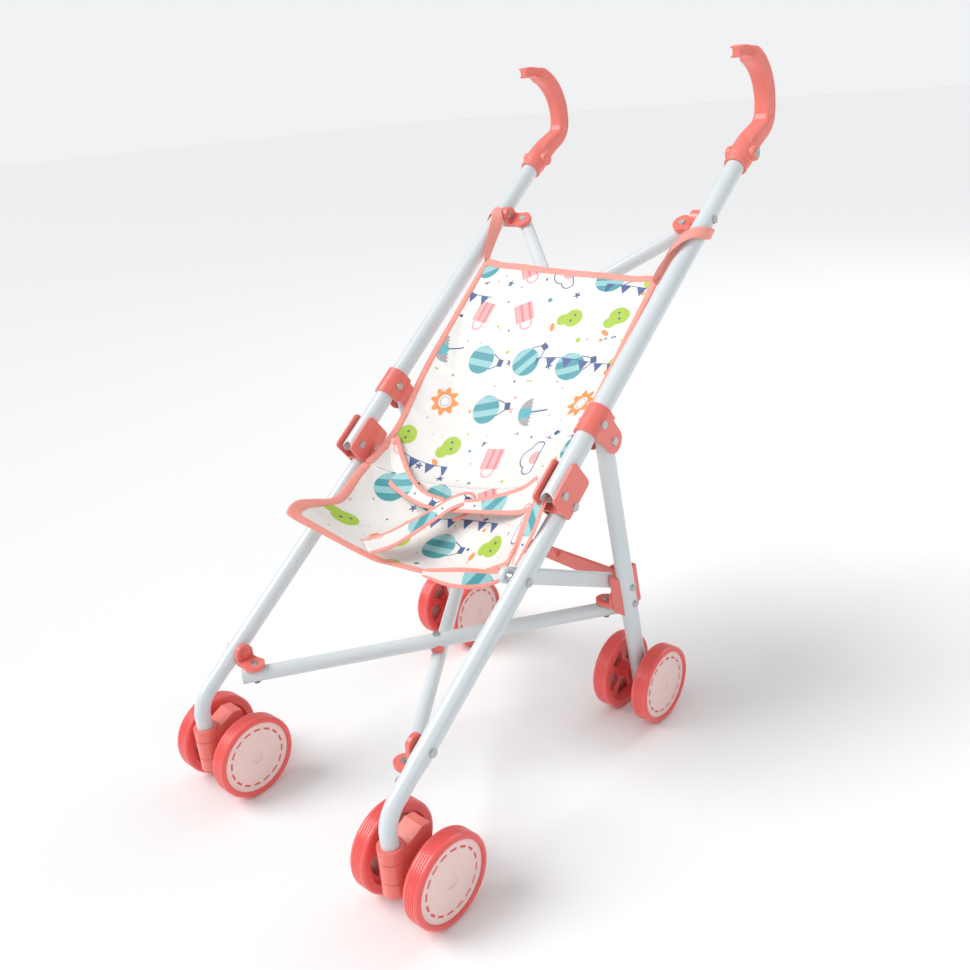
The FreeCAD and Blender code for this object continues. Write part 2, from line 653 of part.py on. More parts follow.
def side_link(name, side, frame):
    """A flat bar with round ends from the rear leg's bracket to the front leg."""
    length = link_run.Length
    thickness = inboard(side, dim.link_inset, dim.link_inset + dim.link_thickness)
    radius = dim.link_height / 2
    bar = block(name + "_bar", (0, length), (-radius, radius), thickness, frame)
    ends = [rod(name + "_end_%d" % n, radius, *thickness, shifted(frame, x=x))
            for n, x in enumerate((0, length))]
    solid = fused(name + "_solid", bar, *ends)
    middle = num(dim.half_track) - num(dim.link_inset + dim.link_thickness / 2)
    soft = rounded(name + "_soft", solid, 2.2,
                   lambda edge: abs(abs(edge.CenterOfMass.x) - middle) > 1)
    hole = rod(name + "_rear_hole", running_hole, *inboard(side, 0, dim.screw_inset), frame)
    inner = dim.link_inset + dim.link_thickness
    head = rod(name + "_front_head", dim.rivet_head_radius,
               *inboard(side, inner - 0.5, inner + dim.rivet_head), shifted(frame, x=length))
    node(name, fused(name + "_whole", cut(name + "_cut", soft, hole), head))


# ---------------------------------------------------------------- crossed bars and the back brace

cross_span = num(dim.half_track - dim.screw_inset) * 2
cross_length = math.hypot(cross_span, cross_run.Length)
cross_turn = math.degrees(math.atan2(cross_run.Length, cross_span))
bar_below_tongue = dim.tongue / 2 + dim.run_gap + dim.bar_od / 2
lower_bar_drop = dim.upper_bar_drop + dim.bar_od + dim.cross_spacer
spacer_foot = -(dim.bar_od / 2 + dim.cross_spacer - dim.run_gap)


def cross_frame(side, point):
    """At a side's lower pivot: X towards the front pivot, Y up, Z to the left."""
    return side_frame(point, cross_angle - 180, side)


def bar_frame(side, drop):
    """At the rear screw of the bar that starts on this side: X along the bar, Z up."""
    base = cross_frame(side, cross_rear)
    centre = shifted(base, y=-(drop + bar_below_tongue), z=-side * dim.screw_inset)
    up = centre.Rotation.multVec(Vector(0, 1, 0))
    across = Vector(-side, 0, 0)
    forward = heading(cross_angle)
    along = (across * cross_span + forward * cross_run.Length).normalize()
    return Placement(centre.Base, Rotation(along, up.cross(along), up, "ZXY"))


def crossed_bar(name, side, drop, is_upper):
    frame = bar_frame(side, drop)
    radius = dim.bar_od / 2
    start, end = -dim.bar_tail, cross_length + dim.bar_tail
    tube = rod(name + "_tube", radius, start, end, frame, "X")
    bore = rod(name + "_bore", radius - dim.tube_wall, start - 1, end + 1, frame, "X")
    plugs = [rod(name + "_plug_%d" % n, radius - dim.tube_wall, low, high, frame, "X")
             for n, (low, high) in enumerate(((start - dim.plug, start + 12), (end - 12, end + dim.plug)))]
    caps = [rod(name + "_cap_%d" % n, radius, low, high, frame, "X")
            for n, (low, high) in enumerate(((start - dim.plug, start), (end, end + dim.plug)))]
    hollow = cut(name + "_hollow", tube, bore)
    places = (0, cross_length, cross_length / 2) if is_upper else (0, cross_length)
    holes = [rod(name + "_hole_%d" % n, dim.screw_radius, -radius - 1, radius + 1, shifted(frame, x=x))
             for n, x in enumerate(places)]
    node(name, cut(name + "_cut", fused(name + "_solid", hollow, *plugs, *caps), *holes))


def bar_screws(name, side, drop, is_upper):
    """The screws at the bar's two knuckles and, on the upper bar, the one at the crossing."""
    frame = bar_frame(side, drop)
    top = bar_below_tongue + dim.tongue / 2 + dim.pivot_gap
    low = -dim.bar_od / 2
    things = [screw(name + "_%d" % n, low, top, shifted(frame, x=x))
              for n, x in enumerate((0, cross_length))]
    if is_upper:
        crossing = shifted(frame, x=cross_length / 2)
        shank = rod(name + "_crossing_shank", dim.screw_radius, spacer_foot, -low, crossing)
        head = cone(name + "_crossing_head", dim.screw_head_radius, dim.screw_head_radius - 0.5, -low,
                    dim.screw_head - low, crossing)
        things.append(fused(name + "_crossing", shank, head))
    group(name, *things)


def back_bar(name, side, handle_frame):
    """A bar from a handle's knuckle down to the lap hinge in the middle of the back."""
    half_span = dim.half_track - dim.screw_inset
    length = math.hypot(num(half_span), num(dim.back_brace_fall))
    fall = math.degrees(math.atan2(num(dim.back_brace_fall), num(half_span)))
    depth = back_tongue_low + dim.run_gap + dim.bar_od / 2
    pivot = shifted(handle_frame, x=dim.back_knuckle_along, y=-depth, z=-side * dim.screw_inset)
    down = pivot.Rotation.multVec(Vector(-1, 0, 0))
    rear = pivot.Rotation.multVec(Vector(0, -1, 0))
    along = (Vector(-side, 0, 0) * math.cos(math.radians(fall)) + down * math.sin(math.radians(fall)))
    frame = Placement(pivot.Base, Rotation(along, rear.cross(along), rear, "ZXY"))
    radius = dim.bar_od / 2
    tube_end = length - num(dim.lap_reach)
    tube = rod(name + "_tube", radius, -dim.bar_tail, tube_end, frame, "X")
    bore = rod(name + "_bore", radius - dim.tube_wall, -dim.bar_tail - 1, tube_end - 4, frame, "X")
    plug = rod(name + "_plug", radius, -dim.bar_tail - dim.plug, -dim.bar_tail, frame, "X")
    layer = (dim.lap_gap / 2, dim.lap_gap / 2 + dim.lap)
    z_lap = layer if side > 0 else (-layer[1], -layer[0])
    lap = block(name + "_lap", (tube_end - 4, length), (-dim.lap_radius, dim.lap_radius), z_lap, frame)
    lap_end = rod(name + "_lap_end", dim.lap_radius, *z_lap, shifted(frame, x=length))
    hinge_hole = rod(name + "_hinge_hole", dim.screw_radius + dim.pivot_gap, -radius - 1, radius + 1, frame)
    hollow = cut(name + "_hollow", tube, bore)
    solid = fused(name + "_solid", hollow, plug, lap, lap_end)
    if side > 0:
        pin_hole = rod(name + "_pin_hole", dim.screw_radius, -radius, radius, shifted(frame, x=length))
        node(name, cut(name + "_cut", solid, hinge_hole, pin_hole))
        shank = rod("back_pin_shank", dim.screw_radius, *z_lap, shifted(frame, x=length))
        head = cone("back_pin_head", dim.screw_head_radius, dim.screw_head_radius - 0.5, z_lap[1],
                    z_lap[1] + dim.screw_head, shifted(frame, x=length))
        node("back_brace_pin", fused("back_pin", shank, head))
    else:
        node(name, cut(name + "_cut", solid, hinge_hole))


# ---------------------------------------------------------------- folding brace

def brace_arm(name, side, frame):
    """A tapered arm from the rear bracket's flange; the left one runs past the middle and ends round."""
    half_span = num(dim.half_track - dim.brace_inset)
    rise = num(dim.arm_rise)
    length = half_span / math.cos(math.radians(rise))
    layer = dim.arm_layer + (0 if side < 0 else dim.arm + dim.arm_gap)
    hinge = shifted(frame, x=brace_along, y=layer, z=-side * dim.brace_inset)
    rear = hinge.Rotation.multVec(Vector(0, 1, 0))
    up = hinge.Rotation.multVec(Vector(-1, 0, 0))
    along = (Vector(-side, 0, 0) * math.cos(math.radians(rise)) + up * math.sin(math.radians(rise)))
    arm_place = Placement(hinge.Base, Rotation(along, rear.cross(along), rear, "ZXY"))
    mid_plane = shifted(arm_place, z=dim.arm / 2)
    tail = dim.arm_tail if side < 0 else Size(0.0, "0.0")
    root, tip = dim.arm_root_radius, dim.arm_tip_radius
    reach = length + tail
    plate = padded(name + "_plate", [(0, -root), (reach, -tip), (reach, tip), (0, root)],
                   dim.arm, mid_plane)
    root_disc = rod(name + "_root", root, 0, dim.arm, arm_place)
    tip_disc = rod(name + "_tip", tip, 0, dim.arm, shifted(arm_place, x=reach))
    things = [plate, root_disc, tip_disc]
    boss_end = dim.flange_back - layer
    things.append(rod(name + "_boss", dim.screw_head_radius + 1, dim.arm, boss_end - dim.pivot_gap,
                      arm_place))
    if side < 0:
        things.append(rod(name + "_stud", dim.brace_stud_radius, -dim.screw_head, 0,
                          shifted(arm_place, x=length)))
    else:
        things.append(rod(name + "_front_boss", dim.screw_head_radius + 1, -(dim.arm + dim.arm_gap), 0,
                          arm_place))
        things.append(rod(name + "_stud", dim.brace_stud_radius, dim.arm, dim.arm + dim.screw_head,
                          shifted(arm_place, x=length)))
    low = -(layer - dim.arm_layer) - 1 if side > 0 else sized(-1)
    hole = rod(name + "_hole", dim.screw_radius + dim.pivot_gap, low, boss_end + 1, arm_place)
    node(name, cut(name + "_cut", fused(name + "_solid", *things), hole))


# ---------------------------------------------------------------- casters and wheels

def caster(name, side):
    """The housing that turns on the leg's stem and trails the axle behind it."""
    frame = Placement(Vector(side * num(dim.half_track), stem_y, 0), Rotation())
    barrel = rod(name + "_barrel", dim.housing_radius, dim.housing_bottom, dim.housing_top, frame)
    profile = [(0, dim.housing_bottom), (dim.trail + dim.body_back, dim.housing_bottom),
               (dim.trail + dim.body_back, dim.housing_top + 2), (dim.trail, dim.housing_top + 4),
               (0, dim.housing_top - 6)]
    side_place = Placement(frame.Base, UPRIGHT)
    body = padded(name + "_body", profile, dim.body_half_width * 2, side_place)
    axle_at = Placement(Vector(frame.Base.x, front_axle.y, front_axle.z), UPRIGHT)
    reach = dim.front_wheel_inset - dim.hub_clearance
    boss = rod(name + "_boss", dim.axle_boss_radius, -reach, reach, axle_at)
    tools = [rod(name + "_stem_bore", dim.stem_od / 2 + dim.pivot_gap, dim.stem_foot - 0.5,
                 dim.housing_top + 10, frame),
             rod(name + "_axle_bore", dim.axle_radius, -reach - 1, reach + 1, axle_at)]
    for n, share in enumerate((0.3, 0.72)):
        z = dim.housing_bottom + (dim.housing_top - dim.housing_bottom) * share
        ring = cut(name + "_groove_%d" % n,
                   rod(name + "_ring_%d" % n, dim.housing_radius + 1, z, z + 0.8, frame),
                   rod(name + "_core_%d" % n, dim.housing_radius - 0.5, z - 1, z + 2, frame))
        front = block(name + "_front_%d" % n, (-dim.housing_radius * 2, dim.housing_radius * 2),
                      (-dim.housing_radius * 2, 0), (z - 1, z + 2), frame)
        tools.append(common(name + "_front_groove_%d" % n, ring, front))
    node(name, cut(name + "_cut", fused(name + "_solid", barrel, body, boss), *tools))
    out = dim.front_wheel_inset + dim.web_outer
    node(name.replace("caster", "axle"), rod(name + "_axle", dim.axle_radius, -out, out, axle_at))


def wheel(name, cap_name, centre, outward, inset, hub_reach):
    """A coral wheel with a tyre band, a five-window web and a pale slotted cap on its outer face."""
    turn = UPRIGHT if outward > 0 else UPRIGHT * Rotation(Vector(1, 0, 0), 180)
    frame = Placement(centre + Vector(outward * num(inset), 0, 0), turn)
    bore = dim.axle_radius + dim.pivot_gap
    radius, width, edge = dim.wheel_radius, dim.wheel_width, dim.tyre_edge
    profile = [(bore, -hub_reach), (dim.hub_radius, -hub_reach), (dim.hub_radius, dim.web_inner),
               (dim.rim_inner_radius, dim.web_inner), (dim.rim_inner_radius + 1, 0),
               (radius - edge, 0), (radius - edge * 0.3, edge * 0.3), (radius, edge)]
    band = width - 2 * edge
    for n in range(TREAD_GROOVES):
        z = edge + band * ((n + 1) / (TREAD_GROOVES + 1))
        profile += [(radius, z - dim.tread_groove), (radius - dim.tread_groove, z),
                    (radius, z + dim.tread_groove)]
    profile += [(radius, width - edge), (radius - edge * 0.3, width - edge * 0.3), (radius - edge, width),
                (dim.cap_radius + 0.8, width), (dim.cap_radius, width - 0.8), (dim.cap_radius, dim.cap_seat),
                (dim.rim_inner_radius, dim.cap_seat), (dim.rim_inner_radius, dim.web_outer),
                (bore, dim.web_outer)]
    disc = revolved(name + "_disc", profile, frame)
    windows = []
    for n in range(WINDOWS):
        turned_frame = frame * Placement(Vector(), Rotation(Vector(0, 0, 1), 360.0 * n / WINDOWS))
        wedge = rod(name + "_wedge_%d" % n, dim.window_outer, 0, dim.cap_seat, turned_frame)
        bind(wedge, "Angle", dim.window_angle)
        core = rod(name + "_core_%d" % n, dim.window_inner, -1, dim.cap_seat + 1, turned_frame)
        windows.append(cut(name + "_window_%d" % n, wedge, core))
    node(name, cut(name + "_cut", disc, *windows))

    top = dim.cap_seat + dim.cap_thickness
    plate = revolved(cap_name + "_plate", [
        (0, dim.cap_seat), (dim.cap_radius, dim.cap_seat), (dim.cap_radius, top - 0.5),
        (dim.cap_radius - 1.6, top - 0.2), (dim.cap_radius - 2.4, top - 0.8),
        (dim.cap_recess_radius * 3, top), (dim.cap_recess_radius + 0.6, top),
        (dim.cap_recess_radius, top - 0.9), (0, top - 0.9)], frame)
    slots = []
    for n in range(DASHES):
        turned_frame = frame * Placement(Vector(), Rotation(Vector(0, 0, 1), 360.0 * (n + 0.5) / DASHES))
        slots.append(block(cap_name + "_dash_%d" % n,
                           (dim.dash_ring - dim.dash_width / 2, dim.dash_ring + dim.dash_width / 2),
                           (-dim.dash_length / 2, dim.dash_length / 2),
                           (dim.cap_seat - 1, top + 1), turned_frame))
    node(cap_name, cut(cap_name + "_cut", plate, *slots))


# ---------------------------------------------------------------- seat

def seat():
    """The sling seat as two plain closed slabs: the back between the handles and the pan at the knees."""
    frame = side_frame(knee, 0)
    top = heading(handle_angle) * num(dim.seat_top_along)
    crease = Vector(0, num(dim.crease_forward), -num(dim.crease_below))
    front = Vector(0, -num(dim.pan_front), -num(dim.pan_front_below))
    half = num(dim.fabric) / 2
    back_half_width = dim.half_track - wall_outer - dim.rivet_head - dim.run_gap
    pan_half_width = dim.half_track - dim.link_inset - dim.link_thickness - dim.rivet_head - dim.run_gap

    def slab(label, start, end, half_width):
        along = (end - start).normalize()
        normal = Vector(0, -along.z, along.y) * half
        corners = [start - normal, end - normal, end + normal, start + normal]
        node(label, padded(label + "_slab", [(p.y, p.z) for p in corners], half_width * 2, frame))

    pan_way = (crease - front).normalize()
    fold = pan_way.cross((top - crease).normalize()).Length
    back_foot = crease + pan_way * (num(dim.run_gap) + half * fold)
    slab("seat_back", back_foot, top, back_half_width)
    slab("seat_pan", front, crease, pan_half_width)


# ---------------------------------------------------------------- assembly

for side, hand in ((1, "left"), (-1, "right")):
    handle_frame = side_frame(knee, handle_angle, side)
    leg_frame = side_frame(placed(leg_origin), leg_angle, side)
    rear_frame = side_frame(placed(rear_pivot), rear_angle, side)
    is_upper = side > 0
    drop = dim.upper_bar_drop if is_upper else lower_bar_drop
    far_hand = "right" if side > 0 else "left"

    handle_tube(hand + "_handle_tube", handle_frame)
    grip(hand + "_grip", side, handle_frame)
    clip(hand + "_handle_clip", handle_frame)
    knuckle(hand + "_back_knuckle", side, shifted(handle_frame, x=dim.back_knuckle_along),
            dim.handle_od / 2, dim.back_tongue_drop, fixed_hole, dim.screw_radius,
            hug=dim.handle_od / 2)
    handle_fasteners(hand + "_handle_fasteners", side, handle_frame)
    back_bar(hand + "_back_bar", side, handle_frame)

    front_leg(hand + "_front_leg", side, leg_frame)
    knee_bracket(hand + "_knee_bracket", side, handle_frame, leg_frame)
    leg_fasteners(hand + "_front_leg_rivets", side, handle_frame, leg_frame)
    caster(hand + "_caster", side)

    rear_leg(hand + "_rear_leg", rear_frame)
    rear_bracket(hand + "_rear_bracket", side, rear_frame)
    rear_fasteners(hand + "_rear_fasteners", side, rear_frame)
    side_link(hand + "_side_link", side, side_frame(link_rear, link_angle, side))
    brace_arm(hand + "_brace_arm", side, rear_frame)

    # The upper crossed bar starts at the left rear leg, the lower one at the right.
    bar = "upper_cross_bar" if is_upper else "lower_cross_bar"
    knuckle(hand + "_rear_knuckle", side, cross_frame(side, cross_rear), rear_seat, drop,
            running_hole, dim.screw_radius + dim.pivot_gap)
    knuckle(far_hand + "_front_knuckle", -side, cross_frame(-side, front_pivot),
            dim.leg_od / 2 + dim.slide_gap, drop, None, dim.screw_radius + dim.pivot_gap)
    crossed_bar(bar, side, drop, is_upper)
    bar_screws(bar + "_screws", side, drop, is_upper)

    for end, centre, inset, reach in (
            ("front", front_axle, dim.front_wheel_inset, sized(0)),
            ("rear", rear_axle, dim.rear_wheel_inset,
             dim.rear_wheel_inset - dim.leg_od / 2 - dim.hub_clearance)):
        for outward, place in ((side, "outer"), (-side, "inner")):
            label = "%s_%s_%s" % (hand, end, place)
            middle = centre + Vector(side * num(dim.half_track), 0, 0)
            wheel(label + "_wheel", label + "_cap", middle, outward, inset, reach)

spacer_frame = shifted(bar_frame(1, dim.upper_bar_drop), x=cross_length / 2)
spacer = rod("spacer_disc", dim.spacer_radius, spacer_foot, 0, spacer_frame)
spacer_saddle = rod("spacer_saddle", dim.bar_od / 2, -dim.bar_od, dim.bar_od, spacer_frame, "X")
spacer_hole = rod("spacer_hole", dim.screw_radius, spacer_foot - 1, 1, spacer_frame)
node("crossing_spacer", cut("spacer_cut", spacer, spacer_saddle, spacer_hole))
seat()

doc.recompute()
faults = [thing.Name for thing in doc.Objects if "Invalid" in thing.State or "Error" in thing.State]
faults += [label for label, thing in nodes.items()
           if thing.Shape.isNull() or not thing.Shape.isValid() or not thing.Shape.Solids]
if faults:
    raise RuntimeError("these did not build: " + ", ".join(faults))
os.makedirs("parts", exist_ok=True)
for label, thing in nodes.items():
    thing.Shape.exportStep(os.path.join("parts", label + ".step"))
print(len(nodes), "nodes")
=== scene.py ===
import json
import math
import bmesh
import bpy
from mathutils import Matrix, Vector, noise


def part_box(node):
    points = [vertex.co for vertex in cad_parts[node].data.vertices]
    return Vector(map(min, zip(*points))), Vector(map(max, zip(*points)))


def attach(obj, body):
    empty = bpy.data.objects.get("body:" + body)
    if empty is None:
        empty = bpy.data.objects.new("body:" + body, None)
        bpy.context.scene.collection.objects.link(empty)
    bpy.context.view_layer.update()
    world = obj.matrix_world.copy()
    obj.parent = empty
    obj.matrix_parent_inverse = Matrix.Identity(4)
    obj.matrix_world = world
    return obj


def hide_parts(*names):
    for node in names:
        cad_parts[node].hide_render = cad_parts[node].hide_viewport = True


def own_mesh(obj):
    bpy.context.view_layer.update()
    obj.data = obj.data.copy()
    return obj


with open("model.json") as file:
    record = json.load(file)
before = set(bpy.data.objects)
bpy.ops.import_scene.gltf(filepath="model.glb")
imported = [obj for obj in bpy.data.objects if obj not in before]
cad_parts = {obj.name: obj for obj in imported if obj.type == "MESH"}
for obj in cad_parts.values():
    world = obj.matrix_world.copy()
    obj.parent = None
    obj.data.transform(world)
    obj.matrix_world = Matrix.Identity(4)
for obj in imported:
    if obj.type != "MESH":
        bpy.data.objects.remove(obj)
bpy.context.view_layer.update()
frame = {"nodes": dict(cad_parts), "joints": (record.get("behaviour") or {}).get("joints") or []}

MM = 0.001
nodes = frame["nodes"]
scene = bpy.context.scene

# ------------------------------------------------------------------ where things are

low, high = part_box("left_handle_tube")
TRACK = (low[0] + high[0]) / 2
HANDLE = math.radians(37.3)
hinge = next(j for j in frame["joints"] if j["name"] == "fold")
KNEE = Vector((0.0, hinge["pos_m"][1], hinge["pos_m"][2]))
BODY_LEFT, BODY_RIGHT, BODY_LEG = "left_frame", "right_frame", "left_front_leg_body"


def along_handle(reach, below, x=0.0):
    """A point given by its millimetres along the handles from the knee and behind their plane."""
    y = reach * math.cos(HANDLE) + below * math.sin(HANDLE)
    z = reach * math.sin(HANDLE) - below * math.cos(HANDLE)
    return KNEE + Vector((x, y, z)) * MM


def from_knee(x, y, z):
    return KNEE + Vector((x, y, z)) * MM


# ------------------------------------------------------------------ shader tools

class Socket:
    """An output socket that takes part in Python sums."""

    def __init__(self, shader, output):
        self.shader = shader
        self.output = output

    def _math(self, operation, *values, **settings):
        return self.shader.add("ShaderNodeMath", dict(operation=operation, **settings), *values)

    def __add__(self, other):
        return self._math("ADD", self, other)

    __radd__ = __add__

    def __sub__(self, other):
        return self._math("SUBTRACT", self, other)

    def __rsub__(self, other):
        return self._math("SUBTRACT", other, self)

    def __mul__(self, other):
        return self._math("MULTIPLY", self, other)

    __rmul__ = __mul__

    def __truediv__(self, other):
        return self._math("DIVIDE", self, other)

    def __pow__(self, other):
        return self._math("POWER", self, other)

    def __lt__(self, other):
        return self._math("LESS_THAN", self, other)

    def __gt__(self, other):
        return self._math("GREATER_THAN", self, other)

    def sin(self):
        return self._math("SINE", self)

    def cos(self):
        return self._math("COSINE", self)

    def absolute(self):
        return self._math("ABSOLUTE", self)

    def floor(self):
        return self._math("FLOOR", self)

    def fraction(self):
        return self._math("FRACT", self)

    def at_least(self, other):
        return self._math("MAXIMUM", self, other)

    def clamped(self):
        return self._math("ADD", self, 0.0, use_clamp=True)

    def inside(self, edge, blur):
        """1 where the value is under the edge, 0 over it, with a soft step between."""
        return self._math("DIVIDE", edge - self, blur, use_clamp=True)


class Finish:
    """A Principled material with the tools to build its nodes."""

    def __init__(self, name, **fixed):
        self.material = bpy.data.materials.new(name)
        self.material.use_nodes = True
        self.tree = self.material.node_tree
        self.principled = self.tree.nodes["Principled BSDF"]
        for socket, value in fixed.items():
            self.principled.inputs[socket.replace("_", " ")].default_value = value

    def add(self, kind, settings, *values, out=0, **named):
        """Makes one node, sets what it is, then its inputs, and hands back one of its outputs."""
        made = self.tree.nodes.new(kind)
        for key, value in settings.items():
            if key == "stops":
                ramp = made.color_ramp
                while len(ramp.elements) < len(value):
                    ramp.elements.new(0.5)
                for element, (place, colour) in zip(ramp.elements, value):
                    element.position = place
                    element.color = colour
            else:
                setattr(made, key, value)
        for index, value in list(enumerate(values)) + list(named.items()):
            key = index if isinstance(index, int) else index.replace("_", " ")
            if isinstance(value, Socket):
                self.tree.links.new(value.output, made.inputs[key])
            elif value is not None:
                made.inputs[key].default_value = value
        return Socket(self, made.outputs[out])

    def place(self):
        return self.add("ShaderNodeTexCoord", {}, out="Object")

    def noise(self, place, scale, detail=2.0, roughness=0.5):
        return self.add("ShaderNodeTexNoise", {}, Vector=place, Scale=scale, Detail=detail,
                        Roughness=roughness)

    def mix(self, factor, first, second):
        made = self.tree.nodes.new("ShaderNodeMix")
        made.data_type = "RGBA"
        for index, value in ((0, factor), (6, first), (7, second)):
            if isinstance(value, Socket):
                self.tree.links.new(value.output, made.inputs[index])
            else:
                made.inputs[index].default_value = value if index == 0 else tuple(value) + (1.0,) * (
                    4 - len(value))
        return Socket(self, made.outputs[2])

    def parts(self, vector):
        made = self.tree.nodes.new("ShaderNodeSeparateXYZ")
        self.tree.links.new(vector.output, made.inputs[0])
        return [Socket(self, made.outputs[n]) for n in range(3)]

    def joined(self, x, y, z):
        return self.add("ShaderNodeCombineXYZ", {}, x, y, z)

    def bump(self, height, distance, strength=1.0, onto=None):
        return self.add("ShaderNodeBump", {}, Height=height, Distance=distance, Strength=strength,
                        Normal=onto)

    def feed(self, socket, value):
        self.tree.links.new(value.output, self.principled.inputs[socket])
        return self


def dress(piece, *materials):
    """Gives the piece these materials in place of what it has."""
    if piece.data.materials:
        piece.data.materials.clear()
    for material in materials:
        piece.data.materials.append(material)


# ------------------------------------------------------------------ finishes

def frame_paint():
    """Off-white powder coat that drifts between two tones, with fine orange peel and faint grime."""
    f = Finish("frame_paint", Coat_Weight=0.35, Coat_Roughness=0.12, IOR=1.5)
    p = f.place()
    cloud = f.noise(p, 9.0, 3.0)
    peel = f.noise(p, 900.0, 1.0)
    grime = f.noise(p, 60.0, 4.0, 0.65)
    tint = f.mix(cloud, (0.60, 0.665, 0.69), (0.745, 0.79, 0.81))
    f.feed("Base Color", f.mix(((grime - 0.62) * 1.4).clamped(), tint, (0.58, 0.61, 0.62)))
    f.feed("Roughness", 0.27 + grime * 0.14)
    f.feed("Normal", f.bump(peel, 0.00006, 0.5))
    return f.material


def coral(name, colour, deep, rough, coat, grain):
    """Moulded coral plastic: slightly uneven in tone, with a fine mould texture and soft flow marks."""
    f = Finish(name, Coat_Weight=coat, Coat_Roughness=0.14, IOR=1.47, Subsurface_Weight=0.06,
               Subsurface_Scale=0.004)
    f.principled.inputs["Subsurface Radius"].default_value = (1.0, 0.35, 0.25)
    p = f.place()
    flow = f.noise(p, 22.0, 3.0)
    speck = f.noise(p, grain, 2.0, 0.6)
    rub = f.noise(p, 130.0, 4.0, 0.7)
    f.feed("Base Color", f.mix(flow, deep, colour))
    f.feed("Roughness", rough + rub * 0.12)
    f.feed("Normal", f.bump(speck, 0.00008, 0.6))
    return f.material


def steel(name, colour, rough):
    f = Finish(name, Metallic=1.0)
    p = f.place()
    brushed = f.noise(p, 800.0, 2.0)
    stain = f.noise(p, 160.0, 3.0)
    f.feed("Base Color", f.mix(stain, [c * 0.75 for c in colour], colour))
    f.feed("Roughness", rough + brushed * 0.18)
    f.feed("Normal", f.bump(brushed, 0.00003, 0.5))
    return f.material


paint = frame_paint()
coral_hard = coral("coral_plastic", (0.90, 0.205, 0.165), (0.80, 0.16, 0.13), 0.24, 0.4, 1500.0)
coral_grip = coral("grip_plastic", (0.90, 0.235, 0.19), (0.82, 0.19, 0.15), 0.33, 0.15, 2400.0)
coral_wheel = coral("wheel_plastic", (0.91, 0.125, 0.115), (0.80, 0.10, 0.09), 0.28, 0.3, 1200.0)
cap_pink = coral("cap_plastic", (0.93, 0.70, 0.67), (0.87, 0.62, 0.59), 0.26, 0.35, 1500.0)
zinc = steel("steel", (0.60, 0.59, 0.58), 0.28)

FINISHES = (("_wheel", coral_wheel), ("_cap", cap_pink), ("_grip", coral_grip), ("_tube", paint),
            ("_front_leg", paint), ("_rear_leg", paint), ("_side_link", paint), ("_bar", paint),
            ("_fasteners", zinc), ("_rivets", zinc), ("_screws", zinc), ("_axle", zinc), ("_pin", zinc))
for name, piece in nodes.items():
    finish = next((made for ending, made in FINISHES if name.endswith(ending)), coral_hard)
    dress(piece, finish)


# ------------------------------------------------------------------ mesh tools

def stamped(name, mesh, body, slot, *materials):
    """A finished piece at the origin, riding on its body."""
    piece = bpy.data.objects.new(name, mesh)
    scene.collection.objects.link(piece)
    dress(piece, *materials)
    for face in mesh.polygons:
        face.use_smooth = True
    if body:
        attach(piece, body)
    return piece


def mesh_of(shape, name):
    bmesh.ops.recalc_face_normals(shape, faces=shape.faces)
    mesh = bpy.data.meshes.new(name)
    shape.to_mesh(mesh)
    shape.free()
    return mesh


def smooth_curve(points, count):
    """A Catmull-Rom run through the points, at even shares of its length."""
    dense, fine = [], 24
    padded = [points[0] * 2 - points[1]] + list(points) + [points[-1] * 2 - points[-2]]
    for n in range(1, len(padded) - 2):
        a, b, c, d = padded[n - 1:n + 3]
        for step in range(fine):
            t = step / fine
            dense.append(0.5 * ((2 * b) + (c - a) * t + (2 * a - 5 * b + 4 * c - d) * t * t
                                + (3 * b - a - 3 * c + d) * t ** 3))
    dense.append(points[-1])
    lengths = [0.0]
    for first, second in zip(dense, dense[1:]):
        lengths.append(lengths[-1] + (second - first).length)
    spots, k = [], 0
    for n in range(count):
        goal = lengths[-1] * n / (count - 1)
        while k < len(dense) - 2 and lengths[k + 1] < goal:
            k += 1
        share = (goal - lengths[k]) / max(lengths[k + 1] - lengths[k], 1e-9)
        spots.append(dense[k].lerp(dense[k + 1], min(max(share, 0), 1)))
    return spots


def smoothed(piece):
    """One level of subdivision, the same in the view and in a render."""
    soft = piece.modifiers.new("soft", "SUBSURF")
    soft.levels = soft.render_levels = 1


def soften(piece, thickness):
    """Gives a sheet its thickness, half to each side, and rounds it."""
    wall = piece.modifiers.new("thickness", "SOLIDIFY")
    wall.thickness = thickness
    wall.offset = 0.0
    smoothed(piece)


def applied(piece):
    """The piece's modifiers made into its mesh."""
    made = bpy.data.meshes.new_from_object(piece.evaluated_get(bpy.context.evaluated_depsgraph_get()))
    piece.modifiers.clear()
    piece.data = made
    for face in made.polygons:
        face.use_smooth = True
    return piece


# ------------------------------------------------------------------ grips

GRIP_START = 347.0
GRIP_RUNS = ((0.0, 12.0), (-12.0, 60.0), (0.0, 14.0), (60.0, 16.0), (104.0, 46.0))
GRIP_HALF_WIDTH, GRIP_HALF_DEPTH = 8.3, 6.6
CHANNEL_DEPTH, SEAM_DEPTH = 1.5, 0.22
TIP_AT, SEAMS_AT = 0.86, (0.44, 0.53)      # shares of the grip's length
BOSS_OUT, BOSS_UP = 11.2, 4.0


def heading(angle):
    return Vector((0, math.cos(angle), math.sin(angle)))


